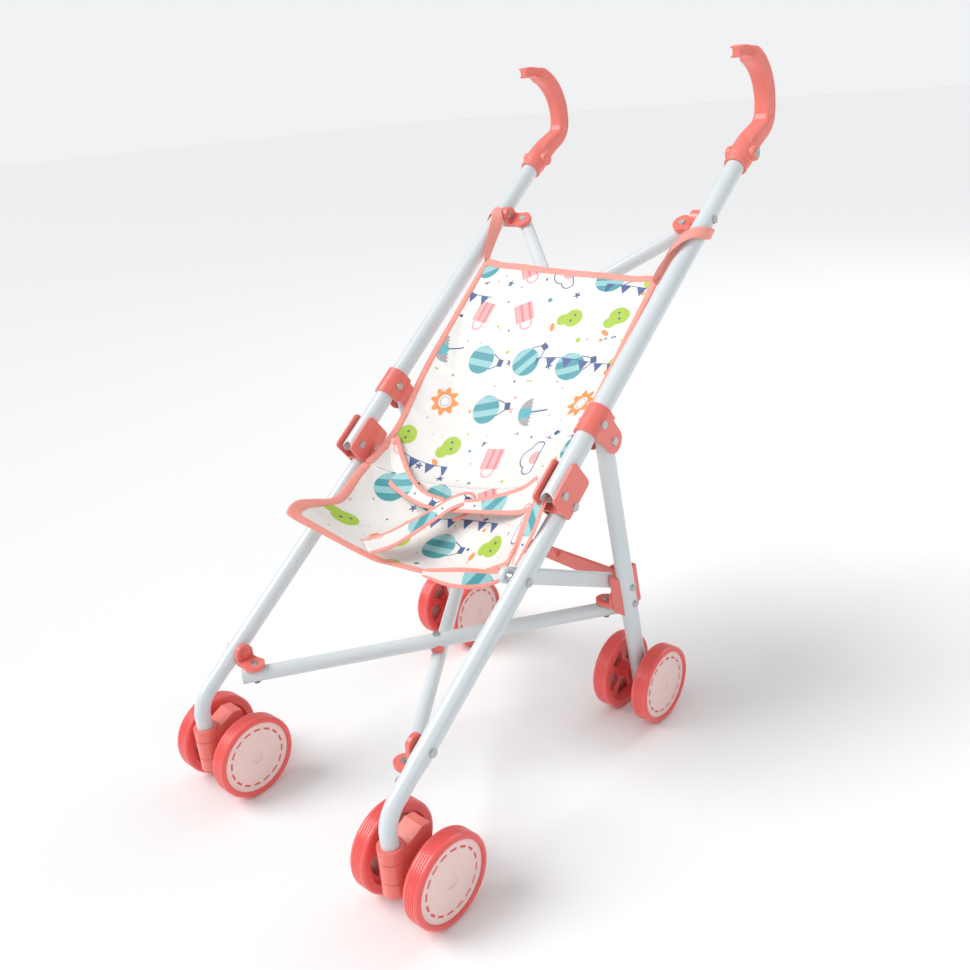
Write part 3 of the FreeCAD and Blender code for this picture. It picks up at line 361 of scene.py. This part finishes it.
def grip_line():
    """Places and headings along the hooked grip's centre line."""
    spot, angle, made = along_handle(GRIP_START, 0), HANDLE, []
    for turn, measure in GRIP_RUNS:
        if turn == 0:
            for n in range(3):
                made.append((spot + heading(angle) * measure * MM * n / 3, angle))
            spot = spot + heading(angle) * measure * MM
            continue
        steps = max(4, int(abs(turn) / 3.5))
        bend = math.copysign(math.pi / 2, turn)
        centre = spot + heading(angle + bend) * measure * MM
        for n in range(steps):
            now = angle + math.radians(turn) * n / steps
            made.append((centre + heading(now - bend) * measure * MM, now))
        angle += math.radians(turn)
        spot = centre + heading(angle - bend) * measure * MM
    made.append((spot, angle))
    return made


def drawn(shape, stations, closed=True):
    """Draws a line of points through its stations; hands back the rows of vertices and the end edges."""
    rows = [[shape.verts.new(spot) for spot in stations[0]]]
    count = len(rows[0])
    edges = [shape.edges.new((rows[0][n], rows[0][(n + 1) % count]))
             for n in range(count if closed else count - 1)]
    start = list(edges)
    for spots in stations[1:]:
        made = bmesh.ops.extrude_edge_only(shape, edges=edges)["geom"]
        grown = {item for item in made if isinstance(item, bmesh.types.BMVert)}
        edges = [item for item in made if isinstance(item, bmesh.types.BMEdge)
                 and all(vert in grown for vert in item.verts)]
        order = {vert: n for n, vert in enumerate(rows[-1])}
        mates = {order[link.other_vert(vert)]: vert for vert in grown for link in vert.link_edges
                 if link.other_vert(vert) in order}
        rows.append([mates[n] for n in range(count)])
        for vert, spot in zip(rows[-1], spots):
            vert.co = spot
    return rows, start, edges


def channelled_ring(half_x, half_y, channel, count=36, square=5.0):
    """A rounded-square ring of (x, y) with a shallow channel sunk in both of its sides."""
    made = []
    for n in range(count):
        a = 2 * math.pi * n / count
        c, s = math.cos(a), math.sin(a)
        size = (abs(c) ** square + abs(s) ** square) ** (-1 / square)
        x, y = c * size * half_x, s * size * half_y
        if abs(y) < half_y * 0.62:
            x -= math.copysign(channel, x)
        made.append((x, y))
    return made


def ease(t):
    t = min(max(t, 0.0), 1.0)
    return t * t * (3 - 2 * t)


def moulded_grip(hand, sign):
    """A hooked grip with channelled sides, two cross seams and a smaller forked tip."""
    shape = bmesh.new()
    line = grip_line()
    total = len(line) - 1
    stations = []
    for n, (spot, angle) in enumerate(line):
        t = n / total
        seam = SEAM_DEPTH if min(abs(t - place) for place in SEAMS_AT) < 0.5 / total else 0.0
        small = ease((t - TIP_AT) / 0.03)
        half_x = GRIP_HALF_WIDTH + 1.0 * ease((0.2 - t) / 0.2) - 1.6 * small - seam
        half_y = GRIP_HALF_DEPTH + 2.0 * ease((0.3 - t) / 0.3) - 1.9 * small - seam
        channel = CHANNEL_DEPTH * ease((t - 0.38) / 0.05) + 1.6 * small
        across = Vector((1, 0, 0))
        inward = heading(angle + math.pi / 2)
        stations.append([spot + Vector((sign * TRACK, 0, 0)) + (across * x + inward * y) * MM
                         for x, y in channelled_ring(half_x, half_y, channel)])
    _, start, end = drawn(shape, stations)
    tip = bmesh.ops.edgeloop_fill(shape, edges=end)["faces"]
    bmesh.ops.edgeloop_fill(shape, edges=start)
    bmesh.ops.inset_region(shape, faces=tip, thickness=0.0012, depth=-0.0006)
    grip = stamped(hand + "_moulded_grip", mesh_of(shape, hand + "_moulded_grip"), None, "grip_plastic",
                   coral_grip)
    smoothed(grip)
    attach(applied(grip), hand + "_frame")

    collar = bmesh.new()
    lay = Matrix.Rotation(HANDLE, 4, "X") @ Matrix.Rotation(-math.pi / 2, 4, "X")
    profile = [(8.1, -12.0), (9.6, -12.0), (10.3, -11.0), (10.3, -5.0), (10.9, -4.2), (10.9, 9.0),
               (10.2, 12.4), (8.1, 12.4)]
    ring = [collar.verts.new((r * MM, 0, z * MM)) for r, z in profile]
    edges = [collar.edges.new((ring[n], ring[(n + 1) % len(ring)])) for n in range(len(ring))]
    bmesh.ops.spin(collar, geom=ring + edges, cent=(0, 0, 0), axis=(0, 0, 1), angle=2 * math.pi,
                   steps=40, use_merge=True)
    bmesh.ops.transform(collar, matrix=Matrix.Translation(along_handle(GRIP_START, 0, sign * TRACK / MM))
                        @ lay, verts=collar.verts)
    for side in (1, -1):
        boss = bmesh.ops.create_cone(collar, cap_ends=True, segments=32, radius1=0.0068, radius2=0.0060,
                                     depth=0.0044)["verts"]
        place = along_handle(GRIP_START + BOSS_UP, 0, sign * TRACK / MM + side * BOSS_OUT)
        turn = Matrix.Rotation(side * math.pi / 2, 4, "Y")
        bmesh.ops.transform(collar, verts=boss, matrix=Matrix.Translation(place) @ turn)
    piece = stamped(hand + "_grip_collar", mesh_of(collar, hand + "_grip_collar"), None, "grip_plastic",
                    coral_grip)
    edge = piece.modifiers.new("edge", "BEVEL")
    edge.width, edge.segments, edge.limit_method = 0.0005, 2, "ANGLE"
    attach(applied(piece), hand + "_frame")
    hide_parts(hand + "_grip")


for hand, sign in (("left", 1), ("right", -1)):
    moulded_grip(hand, sign)

# ------------------------------------------------------------------ wheel caps

INLAY_INNER, INLAY_OUTER = 0.0230, 0.0262
INLAY_SUNK = 0.0004


def cap_inlay(name):
    """The coral wheel plastic that shows through the ring of slots in a wheel's cap."""
    low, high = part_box(name)
    y, z = (low[1] + high[1]) / 2, (low[2] + high[2]) / 2
    disc = [vert.co.x for vert in nodes[name].data.vertices
            if INLAY_INNER < math.hypot(vert.co.y - y, vert.co.z - z) < INLAY_OUTER]
    near, far = min(disc) + INLAY_SUNK, max(disc) - INLAY_SUNK
    shape = bmesh.new()
    ring = [shape.verts.new((x, radius, 0)) for x, radius in (
        (near, INLAY_INNER), (far, INLAY_INNER), (far, INLAY_OUTER), (near, INLAY_OUTER))]
    edges = [shape.edges.new((ring[n], ring[(n + 1) % 4])) for n in range(4)]
    bmesh.ops.spin(shape, geom=ring + edges, cent=(0, 0, 0), axis=(1, 0, 0), angle=2 * math.pi, steps=72,
                   use_merge=True)
    bmesh.ops.translate(shape, verts=shape.verts, vec=(0, y, z))
    stamped(name + "_inlay", mesh_of(shape, name + "_inlay"), name.replace("_cap", "_roller"),
            "wheel_plastic", coral_wheel)


for name in [name for name in nodes if name.endswith("_cap")]:
    cap_inlay(name)

# ------------------------------------------------------------------ the sling seat

HALF = 99.0
ACROSS, DOWN = 56, 84
TOP_ROWS = 58      # rows of the back; the rest are the pan
WEAVE_WIDTH, WEAVE_LENGTH = 0.2, 0.33      # the whole sling on its print, in metres
SETTLE_FRAMES = 24
LEAST_MOVE, MORE_MOVE = 0.002, 0.007       # most the simulation may move the top edge, and more below it
RIPPLE = 0.0022

# The two side hems and the middle, from the top edge to the front edge.
NEAR_HEM = [along_handle(213, 2, HALF), along_handle(150, 6, HALF), along_handle(93, 9.3, HALF),
            along_handle(40, 14, HALF - 4), along_handle(12, 12, HALF - 5), from_knee(HALF - 4, -8, -15),
            from_knee(HALF - 4, -24, -34), from_knee(HALF - 4, -38, -49)]
FAR_HEM = [along_handle(221, 2, -HALF), along_handle(150, 6, -HALF), along_handle(93, 9.3, -HALF),
           along_handle(40, 14, -HALF + 4), along_handle(8, 12, -HALF + 4), from_knee(-HALF + 3, -15, -17),
           from_knee(-HALF + 2, -41, -33), from_knee(-HALF + 2, -64, -27), from_knee(-HALF + 2, -82, -22),
           from_knee(-HALF + 5, -98, -27)]
MIDDLE = [along_handle(213, -2, 0), along_handle(150, 3, 0), along_handle(93, 15, 0),
          along_handle(40, 27, 0), along_handle(8, 34, 0), from_knee(0, -8, -50),
          from_knee(0, -32, -62), from_knee(0, -60, -60)]


def sling_point(rows, i, j):
    """Across one row: near and far hem joined by a sag through the middle line, flatter to the front."""
    near, far, middle = (row[j] for row in rows)
    t = i / (ACROSS - 1) * 2 - 1
    flat = far.lerp(near, (t + 1) / 2)
    power = 2.3 + 1.9 * ease((j / (DOWN - 1) - 0.7) / 0.3)
    return flat + (middle - (near + far) / 2) * (1 - abs(t) ** power)


def sling():
    """The cloth as one grid, settled by a short cloth simulation with its hems held."""
    rows = [smooth_curve(line, DOWN) for line in (NEAR_HEM, FAR_HEM, MIDDLE)]
    shape = bmesh.new()
    uv = shape.loops.layers.uv.new("weave")
    bmesh.ops.create_grid(shape, x_segments=ACROSS - 1, y_segments=DOWN - 1, size=0.5)
    shape.verts.ensure_lookup_table()
    where = {}
    for vert in shape.verts:
        i = round((vert.co.x + 0.5) * (ACROSS - 1))
        j = round((vert.co.y + 0.5) * (DOWN - 1))
        where[vert.index] = (i, j)
    for face in shape.faces:
        for loop in face.loops:
            i, j = where[loop.vert.index]
            loop[uv].uv = (i / (ACROSS - 1) * WEAVE_WIDTH, j / (DOWN - 1) * WEAVE_LENGTH)
    for vert in shape.verts:
        i, j = where[vert.index]
        ripple = noise.noise(Vector((i * 0.11, j * 0.09, 3.7))) * RIPPLE
        spot = sling_point(rows, i, j)
        vert.co = spot + Vector((0, -0.6, 0.8)) * ripple * (1 - abs(i / (ACROSS - 1) * 2 - 1))
    mesh = bpy.data.meshes.new("sling")
    shape.normal_update()
    shape.to_mesh(mesh)
    shape.free()
    piece = bpy.data.objects.new("sling", mesh)
    scene.collection.objects.link(piece)
    held = piece.vertex_groups.new(name="held")
    for index, (i, j) in where.items():
        edge = min(i, ACROSS - 1 - i)
        if edge <= 1 and j < DOWN - 2:
            held.add([index], 1.0, "REPLACE")
        elif j in (0, 1) and edge <= 4:
            held.add([index], 1.0, "REPLACE")
        elif j == TOP_ROWS:
            held.add([index], 0.6, "REPLACE")
    cloth = piece.modifiers.new("settle", "CLOTH")
    cloth.settings.quality = 6
    cloth.settings.mass = 0.12
    cloth.settings.tension_stiffness = 18
    cloth.settings.compression_stiffness = 10
    cloth.settings.shear_stiffness = 4
    cloth.settings.bending_stiffness = 0.35
    cloth.settings.shrink_min = -0.018
    cloth.settings.vertex_group_mass = "held"
    cloth.settings.time_scale = 0.6
    cloth.collision_settings.use_collision = False
    cloth.point_cache.frame_end = SETTLE_FRAMES
    for step in range(1, SETTLE_FRAMES + 1):
        scene.frame_set(step)
    settled = bpy.data.meshes.new_from_object(piece.evaluated_get(bpy.context.evaluated_depsgraph_get()))
    start = [vert.co.copy() for vert in mesh.vertices]
    for vert, first in zip(settled.vertices, start):
        move = vert.co - first
        most = LEAST_MOVE + MORE_MOVE * ease(where[vert.index][1] / DOWN / 0.5)
        if move.length > most:
            vert.co = first + move.normalized() * most
    bpy.data.objects.remove(piece)
    scene.frame_set(1)
    return settled, where


def seat_pieces():
    """Cuts the settled cloth at its crease into a back and a pan and binds every outer edge."""
    settled, where = sling()
    made = []
    for name, body, first, last in (("seat_back_cloth", BODY_LEFT, 0, TOP_ROWS),
                                    ("seat_pan_cloth", BODY_LEG, TOP_ROWS, DOWN - 1)):
        for kind in ("cloth", "binding"):
            shape = bmesh.new()
            shape.from_mesh(settled)
            shape.verts.ensure_lookup_table()
            drop = []
            for face in shape.faces:
                cells = [where[vert.index] for vert in face.verts]
                i = min(cell[0] for cell in cells)
                j = min(cell[1] for cell in cells)
                outside = not first <= j < last
                bound = i < 2 or i > ACROSS - 4 or j < 2 or j > DOWN - 4
                if outside or (kind == "binding" and not bound):
                    drop.append(face)
            bmesh.ops.delete(shape, geom=drop, context="FACES")
            mesh = bpy.data.meshes.new(name if kind == "cloth" else name.replace("cloth", "binding"))
            shape.to_mesh(mesh)
            shape.free()
            made.append((mesh, body, kind))
    return made


MOTIF_SCALE = 1.85
MOTIF_GRID = 0.047
SOFT_EDGE, FINE_EDGE = 0.0003, 0.0002     # blur at the edge of a printed shape, in metres


def cloth_print(f, u, v):
    """The scattered print: dots and stars on a fine grid, generic picture motifs on a coarse one."""
    ivory = f.mix(f.noise(f.place(), 30.0, 3.0), (0.77, 0.75, 0.72), (0.86, 0.845, 0.82))
    navy, teal, grey = (0.05, 0.09, 0.24), (0.07, 0.33, 0.38), (0.36, 0.36, 0.38)
    lime, orange, pink = (0.40, 0.58, 0.05), (0.88, 0.30, 0.08), (0.90, 0.42, 0.42)

    def grid(size, seed, stagger=0.5):
        row = (v / size + seed * 0.37).floor()
        across = u / size + row * stagger + seed * 0.21
        column = across.floor()
        share = f.add("ShaderNodeTexWhiteNoise", {"noise_dimensions": "3D"},
                      Vector=f.joined(column, row, seed * 1.0), out="Color")
        a, b, c = f.parts(share)
        x = (across.fraction() - 0.5) * size
        y = ((v / size + seed * 0.37).fraction() - 0.5) * size
        return x, y, a, b, c

    def turned(x, y, angle):
        ca, sa = angle.cos(), angle.sin()
        return x * ca + y * sa, y * ca - x * sa

    def polar(x, y):
        angle = f.add("ShaderNodeMath", {"operation": "ARCTAN2"}, y, x)
        return angle, (x * x + y * y) ** 0.5

    def disc(x, y, cx, cy, radius, squeeze=1.0):
        dx, dy = x - cx, (y - cy) * squeeze
        return ((dx * dx + dy * dy) ** 0.5).inside(radius, SOFT_EDGE)

    def ring(x, y, cx, cy, radius, wide):
        dx, dy = x - cx, y - cy
        return (((dx * dx + dy * dy) ** 0.5) - radius).absolute().inside(wide, FINE_EDGE)

    colour = ivory
    # small dots in several colours
    for size, seed, biggest in ((0.0165, 3, 0.0021), (0.027, 8, 0.0031)):
        x, y, a, b, c = grid(size, seed)
        x, y = x - (a - 0.5) * size * 0.5, y - (b - 0.5) * size * 0.5
        dot = disc(x, y, 0.0, 0.0, 0.0006 + c * biggest * 0.7) * (a > 0.35)
        hue = f.add("ShaderNodeValToRGB", {"stops": [
            (0.0, pink + (1,)), (0.2, lime + (1,)), (0.4, orange + (1,)), (0.55, teal + (1,)),
            (0.7, navy + (1,)), (0.85, grey + (1,))]}, (a * 7.3 + c * 3.1).fraction())
        hue.output.node.color_ramp.interpolation = "CONSTANT"
        colour = f.mix(dot, colour, hue)
    # small outlined stars
    x, y, a, b, c = grid(0.038, 5)
    x, y = turned(x - (b - 0.5) * 0.016, y - (c - 0.5) * 0.016, a * 6.28)
    angle, spread = polar(x, y)
    star = spread.inside(0.0026 + (angle * 5.0).cos() * 0.0011, SOFT_EDGE) * (c > 0.4)
    colour = f.mix(star, colour, navy)

    # the picture motifs, one drawing per grid cell
    x, y, a, b, c = grid(MOTIF_GRID, 1)
    x, y = x - (a - 0.5) * 0.008, y - (b - 0.5) * 0.008
    x, y = turned(x / MOTIF_SCALE, y / MOTIF_SCALE, (b - 0.5) * 1.3 + 1.2)
    clear = disc(x, y, 0.0, 0.0, 0.0112)
    colour = f.mix(clear * 0.9, colour, ivory)

    def pick(low_share, high_share):
        return (c > low_share) * (c < high_share)

    # a hot-air balloon with a striped bag and a little basket
    chosen = pick(-1.0, 0.17)
    bag = disc(x, y, 0.0, 0.0025, 0.0075)
    stripes = ((x * 900.0).sin() > 0.1)
    basket = (x.absolute() < 0.0019) * ((y + 0.0093).absolute() < 0.0015)
    ropes = ((x.absolute() - 0.0019 - (y + 0.0078) * 0.55).absolute() < 0.0003) * (
        (y + 0.006).absolute() < 0.0022)
    colour = f.mix(bag * chosen, colour, teal)
    colour = f.mix(bag * stripes * chosen, colour, (0.30, 0.58, 0.60))
    colour = f.mix((basket + ropes).clamped() * chosen, colour, navy)
    # a cloud with a pink belly
    chosen = pick(0.17, 0.36)
    puffs = disc(x, y, -0.005, 0.0, 0.0042).at_least(disc(x, y, 0.0, 0.002, 0.0058)).at_least(
        disc(x, y, 0.0055, 0.0, 0.004)) * (y > -0.003)
    inner = disc(x, y, -0.005, 0.0, 0.0036).at_least(disc(x, y, 0.0, 0.002, 0.0052)).at_least(
        disc(x, y, 0.0055, 0.0, 0.0034)) * (y > -0.0024)
    colour = f.mix(puffs * chosen, colour, navy)
    colour = f.mix(inner * chosen, colour, (0.86, 0.86, 0.87))
    colour = f.mix(disc(x, y, 0.0, -0.001, 0.0036) * inner * chosen, colour, pink)
    # a round orange flower with a grey heart
    chosen = pick(0.36, 0.53)
    angle, spread = polar(x, y)
    petals = spread.inside(0.0066 + (angle * 8.0).cos() * 0.0012, SOFT_EDGE)
    colour = f.mix(petals * chosen, colour, orange)
    colour = f.mix(disc(x, y, 0.0, 0.0, 0.0036) * chosen, colour, (0.85, 0.82, 0.80))
    colour = f.mix(ring(x, y, 0.0, 0.0, 0.0024, 0.0003) * chosen, colour, grey)
    # a lime pear with an orange leaf and two pips
    chosen = pick(0.53, 0.70)
    pear = disc(x, y, 0.0, -0.002, 0.0052).at_least(disc(x, y, 0.0, 0.0035, 0.0034))
    colour = f.mix(pear * chosen, colour, lime)
    colour = f.mix(disc(x, y, 0.0035, 0.0085, 0.0026, 1.9) * chosen, colour, orange)
    colour = f.mix(disc(x, y, -0.0016, -0.003, 0.0008) * chosen, colour, navy)
    colour = f.mix(disc(x, y, 0.0014, -0.001, 0.0008) * chosen, colour, navy)
    # a pink cup with a handle and bands
    chosen = pick(0.70, 0.86)
    cup = (x.absolute() < 0.0055) * (y.absolute() < 0.005)
    colour = f.mix(ring(x, y, 0.0068, 0.0, 0.0031, 0.0006) * chosen, colour, pink)
    colour = f.mix(cup * chosen, colour, pink)
    colour = f.mix(cup * ((y * 1500.0).sin() > 0.5) * chosen, colour, (0.80, 0.22, 0.25))
    # a grey umbrella
    chosen = pick(0.86, 2.0)
    canopy = disc(x, y, 0.0, -0.001, 0.0078) * (y > -0.001 + ((x * 1600.0).cos().absolute()) * 0.0011)
    pole = (x.absolute() < 0.0004) * ((y + 0.0045).absolute() < 0.0045)
    colour = f.mix(pole * chosen, colour, navy)
    colour = f.mix(canopy * chosen, colour, grey)
    colour = f.mix(canopy * (x.absolute() < 0.0026) * chosen, colour, (0.10, 0.42, 0.50))

    # strings of bunting that swing across the cloth
    for offset, swing in ((0.026, 0.9), (0.108, 1.5), (0.196, 0.4), (0.275, 2.2)):
        drop = v - offset - (u * 23.0 + swing).sin() * 0.014
        line = drop.absolute().inside(0.00045, FINE_EDGE)
        step = ((u * 62.0 + swing).fraction() - 0.5).absolute()
        flag = (drop > 0.0) * (drop < 0.0095) * (step < 0.33 - drop * 33.0)
        shown = (u * 31.0 + swing * 2.0).sin() > 0.25
        colour = f.mix(shown * line, colour, navy)
        colour = f.mix(shown * flag, colour, (0.07, 0.12, 0.30))
    return colour


def printed_cloth():
    f = Finish("printed_cloth", IOR=1.45, Sheen_Weight=0.25, Sheen_Roughness=0.4)
    uv = f.add("ShaderNodeUVMap", {"uv_map": "weave"})
    u, v, _ = f.parts(uv)
    f.feed("Base Color", cloth_print(f, u, v))
    threads = (u * 9000.0).sin() * (v * 9000.0).sin()
    crumple = f.noise(f.place(), 38.0, 4.0, 0.55)
    f.feed("Roughness", 0.40 + crumple * 0.15)
    fine = f.bump(threads, 0.00004, 0.4)
    f.feed("Normal", f.bump(crumple, 0.0022, 0.45, onto=fine))
    return f.material


def binding_cloth():
    """Coral ribbon with a fine ribbed weave and soft creases, with painted shade making the colour darker
    in the crease hollows.
    """
    f = Finish("binding_cloth", IOR=1.45, Sheen_Weight=0.35, Sheen_Roughness=0.4)
    p = f.place()
    x, y, z = f.parts(p)
    rib = ((x + y * 0.7 + z * 0.7) * 6500.0).sin()
    fold = f.noise(p, 70.0, 3.0)
    # painted shade: the noise that drives the crease bump also darkens the base colour in its hollows
    f.feed("Base Color", f.mix(fold, (0.90, 0.30, 0.245), (0.95, 0.40, 0.33)))
    f.feed("Roughness", 0.5 + fold * 0.15)
    f.feed("Normal", f.bump(fold, 0.0008, 0.5, onto=f.bump(rib, 0.00006, 0.5)))
    return f.material


cloth_finish = printed_cloth()
ribbon_finish = binding_cloth()

for mesh, body, kind in seat_pieces():
    finish = cloth_finish if kind == "cloth" else ribbon_finish
    piece = stamped(mesh.name, mesh, None, "seat_cloth", finish)
    soften(piece, 0.0009 if kind == "cloth" else 0.0022)
    applied(piece)
    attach(piece, body)
    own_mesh(piece)
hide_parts("seat_back")
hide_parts("seat_pan")

# ------------------------------------------------------------------ straps and ribbons

BORDER = 0.0034
STRAP_STEPS = 40
STRAP_THICKNESS, FOLD_THICKNESS, RIBBON_THICKNESS = 0.0012, 0.0009, 0.0011


def strap(name, centres, normals, width, thickness, body, printed=False, squashed=True):
    """A flat strip along the centres, facing the normals; a printed one has coral borders."""
    shape = bmesh.new()
    uv = shape.loops.layers.uv.new("weave")
    count = len(centres)
    stations, offsets = [], []
    for n in range(count):
        ahead = (centres[min(n + 1, count - 1)] - centres[max(n - 1, 0)]).normalized()
        across = ahead.cross(normals[n]).normalized()
        half = width(n / (count - 1)) / 2
        inner = max(half - BORDER, half * 0.35)
        offsets.append((-half, -inner, 0.0, inner, half))
        stations.append([centres[n] + across * share for share in offsets[-1]])
    rows = drawn(shape, stations, closed=False)[0]
    where = {vert: (n, k) for n, row in enumerate(rows) for k, vert in enumerate(row)}
    step = sum((b - a).length for a, b in zip(centres, centres[1:])) / (count - 1)
    for face in shape.faces:
        columns = {where[vert][1] for vert in face.verts}
        face.material_index = 1 if printed and columns in ({0, 1}, {3, 4}) else 0
        for loop in face.loops:
            n, k = where[loop.vert]
            loop[uv].uv = (0.1 + offsets[n][k], 0.05 + n * step)
    finishes = (cloth_finish, ribbon_finish) if printed else (ribbon_finish,)
    piece = stamped(name, mesh_of(shape, name), None, "seat_cloth", *finishes)
    soften(piece, thickness)
    applied(piece)
    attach(piece, body)
    if squashed:
        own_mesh(piece)
    return piece


def turning(first, last):
    """Normals that turn evenly from the first to the last."""
    return [Vector(first).lerp(Vector(last), n / (STRAP_STEPS - 1)).normalized()
            for n in range(STRAP_STEPS)]


def through(points):
    return smooth_curve([from_knee(*point) for point in points], STRAP_STEPS)


FAR_WING = through([(-95, 20, -3), (-80, 12, -16), (-58, 3, -27), (-30, -4, -33), (-4, -5, -34)])
NEAR_WING = through([(94, 3, -3), (78, 4, -14), (56, 3, -22), (30, 0, -29), (4, -4, -33)])
strap("far_waist_strap", FAR_WING, turning((0.35, -0.75, 0.55), (0.1, -0.6, 0.8)),
      lambda t: 0.030 - 0.016 * ease(t * 1.15), STRAP_THICKNESS, BODY_LEFT, printed=True)
strap("near_waist_strap", NEAR_WING, turning((-0.3, -0.8, 0.5), (-0.1, -0.6, 0.8)),
      lambda t: 0.027 - 0.014 * ease(t * 1.15), STRAP_THICKNESS, BODY_LEFT, printed=True)
CROTCH = through([(-32, -67, -54), (-22, -50, -52), (-12, -30, -45), (-3, -13, -38), (6, -4, -31),
                  (16, 4, -27), (20, 8, -30), (14, 4, -37), (5, -4, -42)])
strap("crotch_strap", CROTCH, turning((0, -0.25, 0.97), (0.1, -0.6, 0.8)),
      lambda t: 0.026 - 0.011 * ease(t * 1.6), STRAP_THICKNESS, BODY_LEG, printed=True)

# the cloth that turns down outside the front hem and between the near hem and its tube
FRONT_FOLD = through([(22, -58, -66), (48, -53, -65), (76, -45, -61), (95, -38, -55)])
strap("front_fold", FRONT_FOLD, turning((0, -0.95, 0.3), (0.2, -0.9, 0.3)),
      lambda t: 0.006 + 0.011 * math.sin(math.pi * t), FOLD_THICKNESS, BODY_LEG, printed=True)
SIDE_FOLD = smooth_curve([along_handle(26, 12, 101), from_knee(102, -3, -6), from_knee(102, -22, -28),
                          from_knee(100, -37, -47)], STRAP_STEPS)
strap("side_fold", SIDE_FOLD, turning((-0.2, -0.75, 0.6), (-0.1, -0.8, 0.55)),
      lambda t: 0.006 + 0.009 * math.sin(math.pi * t), FOLD_THICKNESS, BODY_LEG, printed=True)

# each ribbon leaves the seat's top corner, goes round its handle tube and comes back
TOP_LOOPS = {
    "left": (BODY_LEFT, [(207, 3, 96), (230, 0, 98), (252, 1, 101), (268, 5, 104), (271, 10, 112),
                         (264, 6, 121), (257, -3, 122), (250, -9.5, 114), (238, -10, 106), (222, -6, 100),
                         (205, 0, 96)]),
    "right": (BODY_RIGHT, [(218, 2, -97), (240, -3, -101), (262, -8, -104.5), (271, -10.5, -111),
                           (270, -5, -120), (262, 5, -121.5), (252, 8.5, -116), (244, 7, -108),
                           (234, 4, -102), (216, 2, -96)])}
for hand, sign in (("left", 1), ("right", -1)):
    body, route = TOP_LOOPS[hand]
    loop = smooth_curve([along_handle(u, n, x) for u, n, x in route], 60)
    faces = []
    for spot in loop:
        reach = (spot - KNEE).dot(heading(HANDLE)) / MM
        faces.append((spot - along_handle(reach, 0, sign * TRACK / MM)).normalized())
    strap(hand + "_top_ribbon", loop, faces, lambda t: 0.0082 + 0.0040 * abs(math.sin(2 * math.pi * t)),
          RIBBON_THICKNESS, body, squashed=False)

# ------------------------------------------------------------------ stage, light and camera

floor_mesh = bmesh.new()
bmesh.ops.create_grid(floor_mesh, x_segments=1, y_segments=1, size=20.0)
floor = stamped("floor", mesh_of(floor_mesh, "floor"), None, None)
floor_finish = Finish("floor", Roughness=0.6)
floor_finish.principled.inputs["Base Color"].default_value = (0.90, 0.90, 0.90, 1)
dress(floor, floor_finish.material)

SKY_LIGHT, SKY_SEEN = 0.48, 0.90
world = bpy.data.worlds.new("studio")
world.use_nodes = True
backdrop = world.node_tree.nodes["Background"]
backdrop.inputs[0].default_value = (0.97, 0.985, 1.0, 1)
seen = world.node_tree.nodes.new("ShaderNodeLightPath")
strength = world.node_tree.nodes.new("ShaderNodeMapRange")
strength.inputs["To Min"].default_value = SKY_LIGHT
strength.inputs["To Max"].default_value = SKY_SEEN
world.node_tree.links.new(seen.outputs["Is Camera Ray"], strength.inputs["Value"])
world.node_tree.links.new(strength.outputs[0], backdrop.inputs[1])
scene.world = world
scene.view_settings.view_transform = "Standard"

SOFT_SUN = math.radians(38)


def lamp(name, spot, target, power, size, kind="AREA"):
    light = bpy.data.lights.new(name, kind)
    light.energy = power
    if kind == "SUN":
        light.angle = size
    else:
        light.size = size
    thing = bpy.data.objects.new(name, light)
    thing.location = spot
    thing.rotation_euler = (Vector(target) - Vector(spot)).to_track_quat("-Z", "Y").to_euler()
    scene.collection.objects.link(thing)


lamp("key", (-1.3, -1.3, 2.2), (0, 0, 0.25), 2.35, SOFT_SUN, kind="SUN")
lamp("fill", (1.8, -1.0, 1.1), (0, 0, 0.3), 7, 1.6)
lamp("back", (0.3, 1.7, 1.6), (0, 0, 0.3), 9, 1.2)

AZIMUTH, ELEVATION, ROLL = math.radians(43.54), math.radians(22.11), math.radians(-4.90)
EYE = Vector((0.5231, KNEE.y - 0.5054, 0.5274))
LENS = 35.42
backward = Vector((math.sin(AZIMUTH) * math.cos(ELEVATION), -math.cos(AZIMUTH) * math.cos(ELEVATION),
                   math.sin(ELEVATION)))
level = Vector((math.cos(AZIMUTH), math.sin(AZIMUTH), 0))
upright = backward.cross(level)
right = level * math.cos(ROLL) + upright * math.sin(ROLL)
up = upright * math.cos(ROLL) - level * math.sin(ROLL)
view = bpy.data.cameras.new("view")
view.lens = LENS
view.sensor_width = 36.0
camera = bpy.data.objects.new("camera", view)
camera.matrix_world = Matrix.Translation(EYE) @ Matrix((right, up, backward)).transposed().to_4x4()
scene.collection.objects.link(camera)
scene.camera = camera
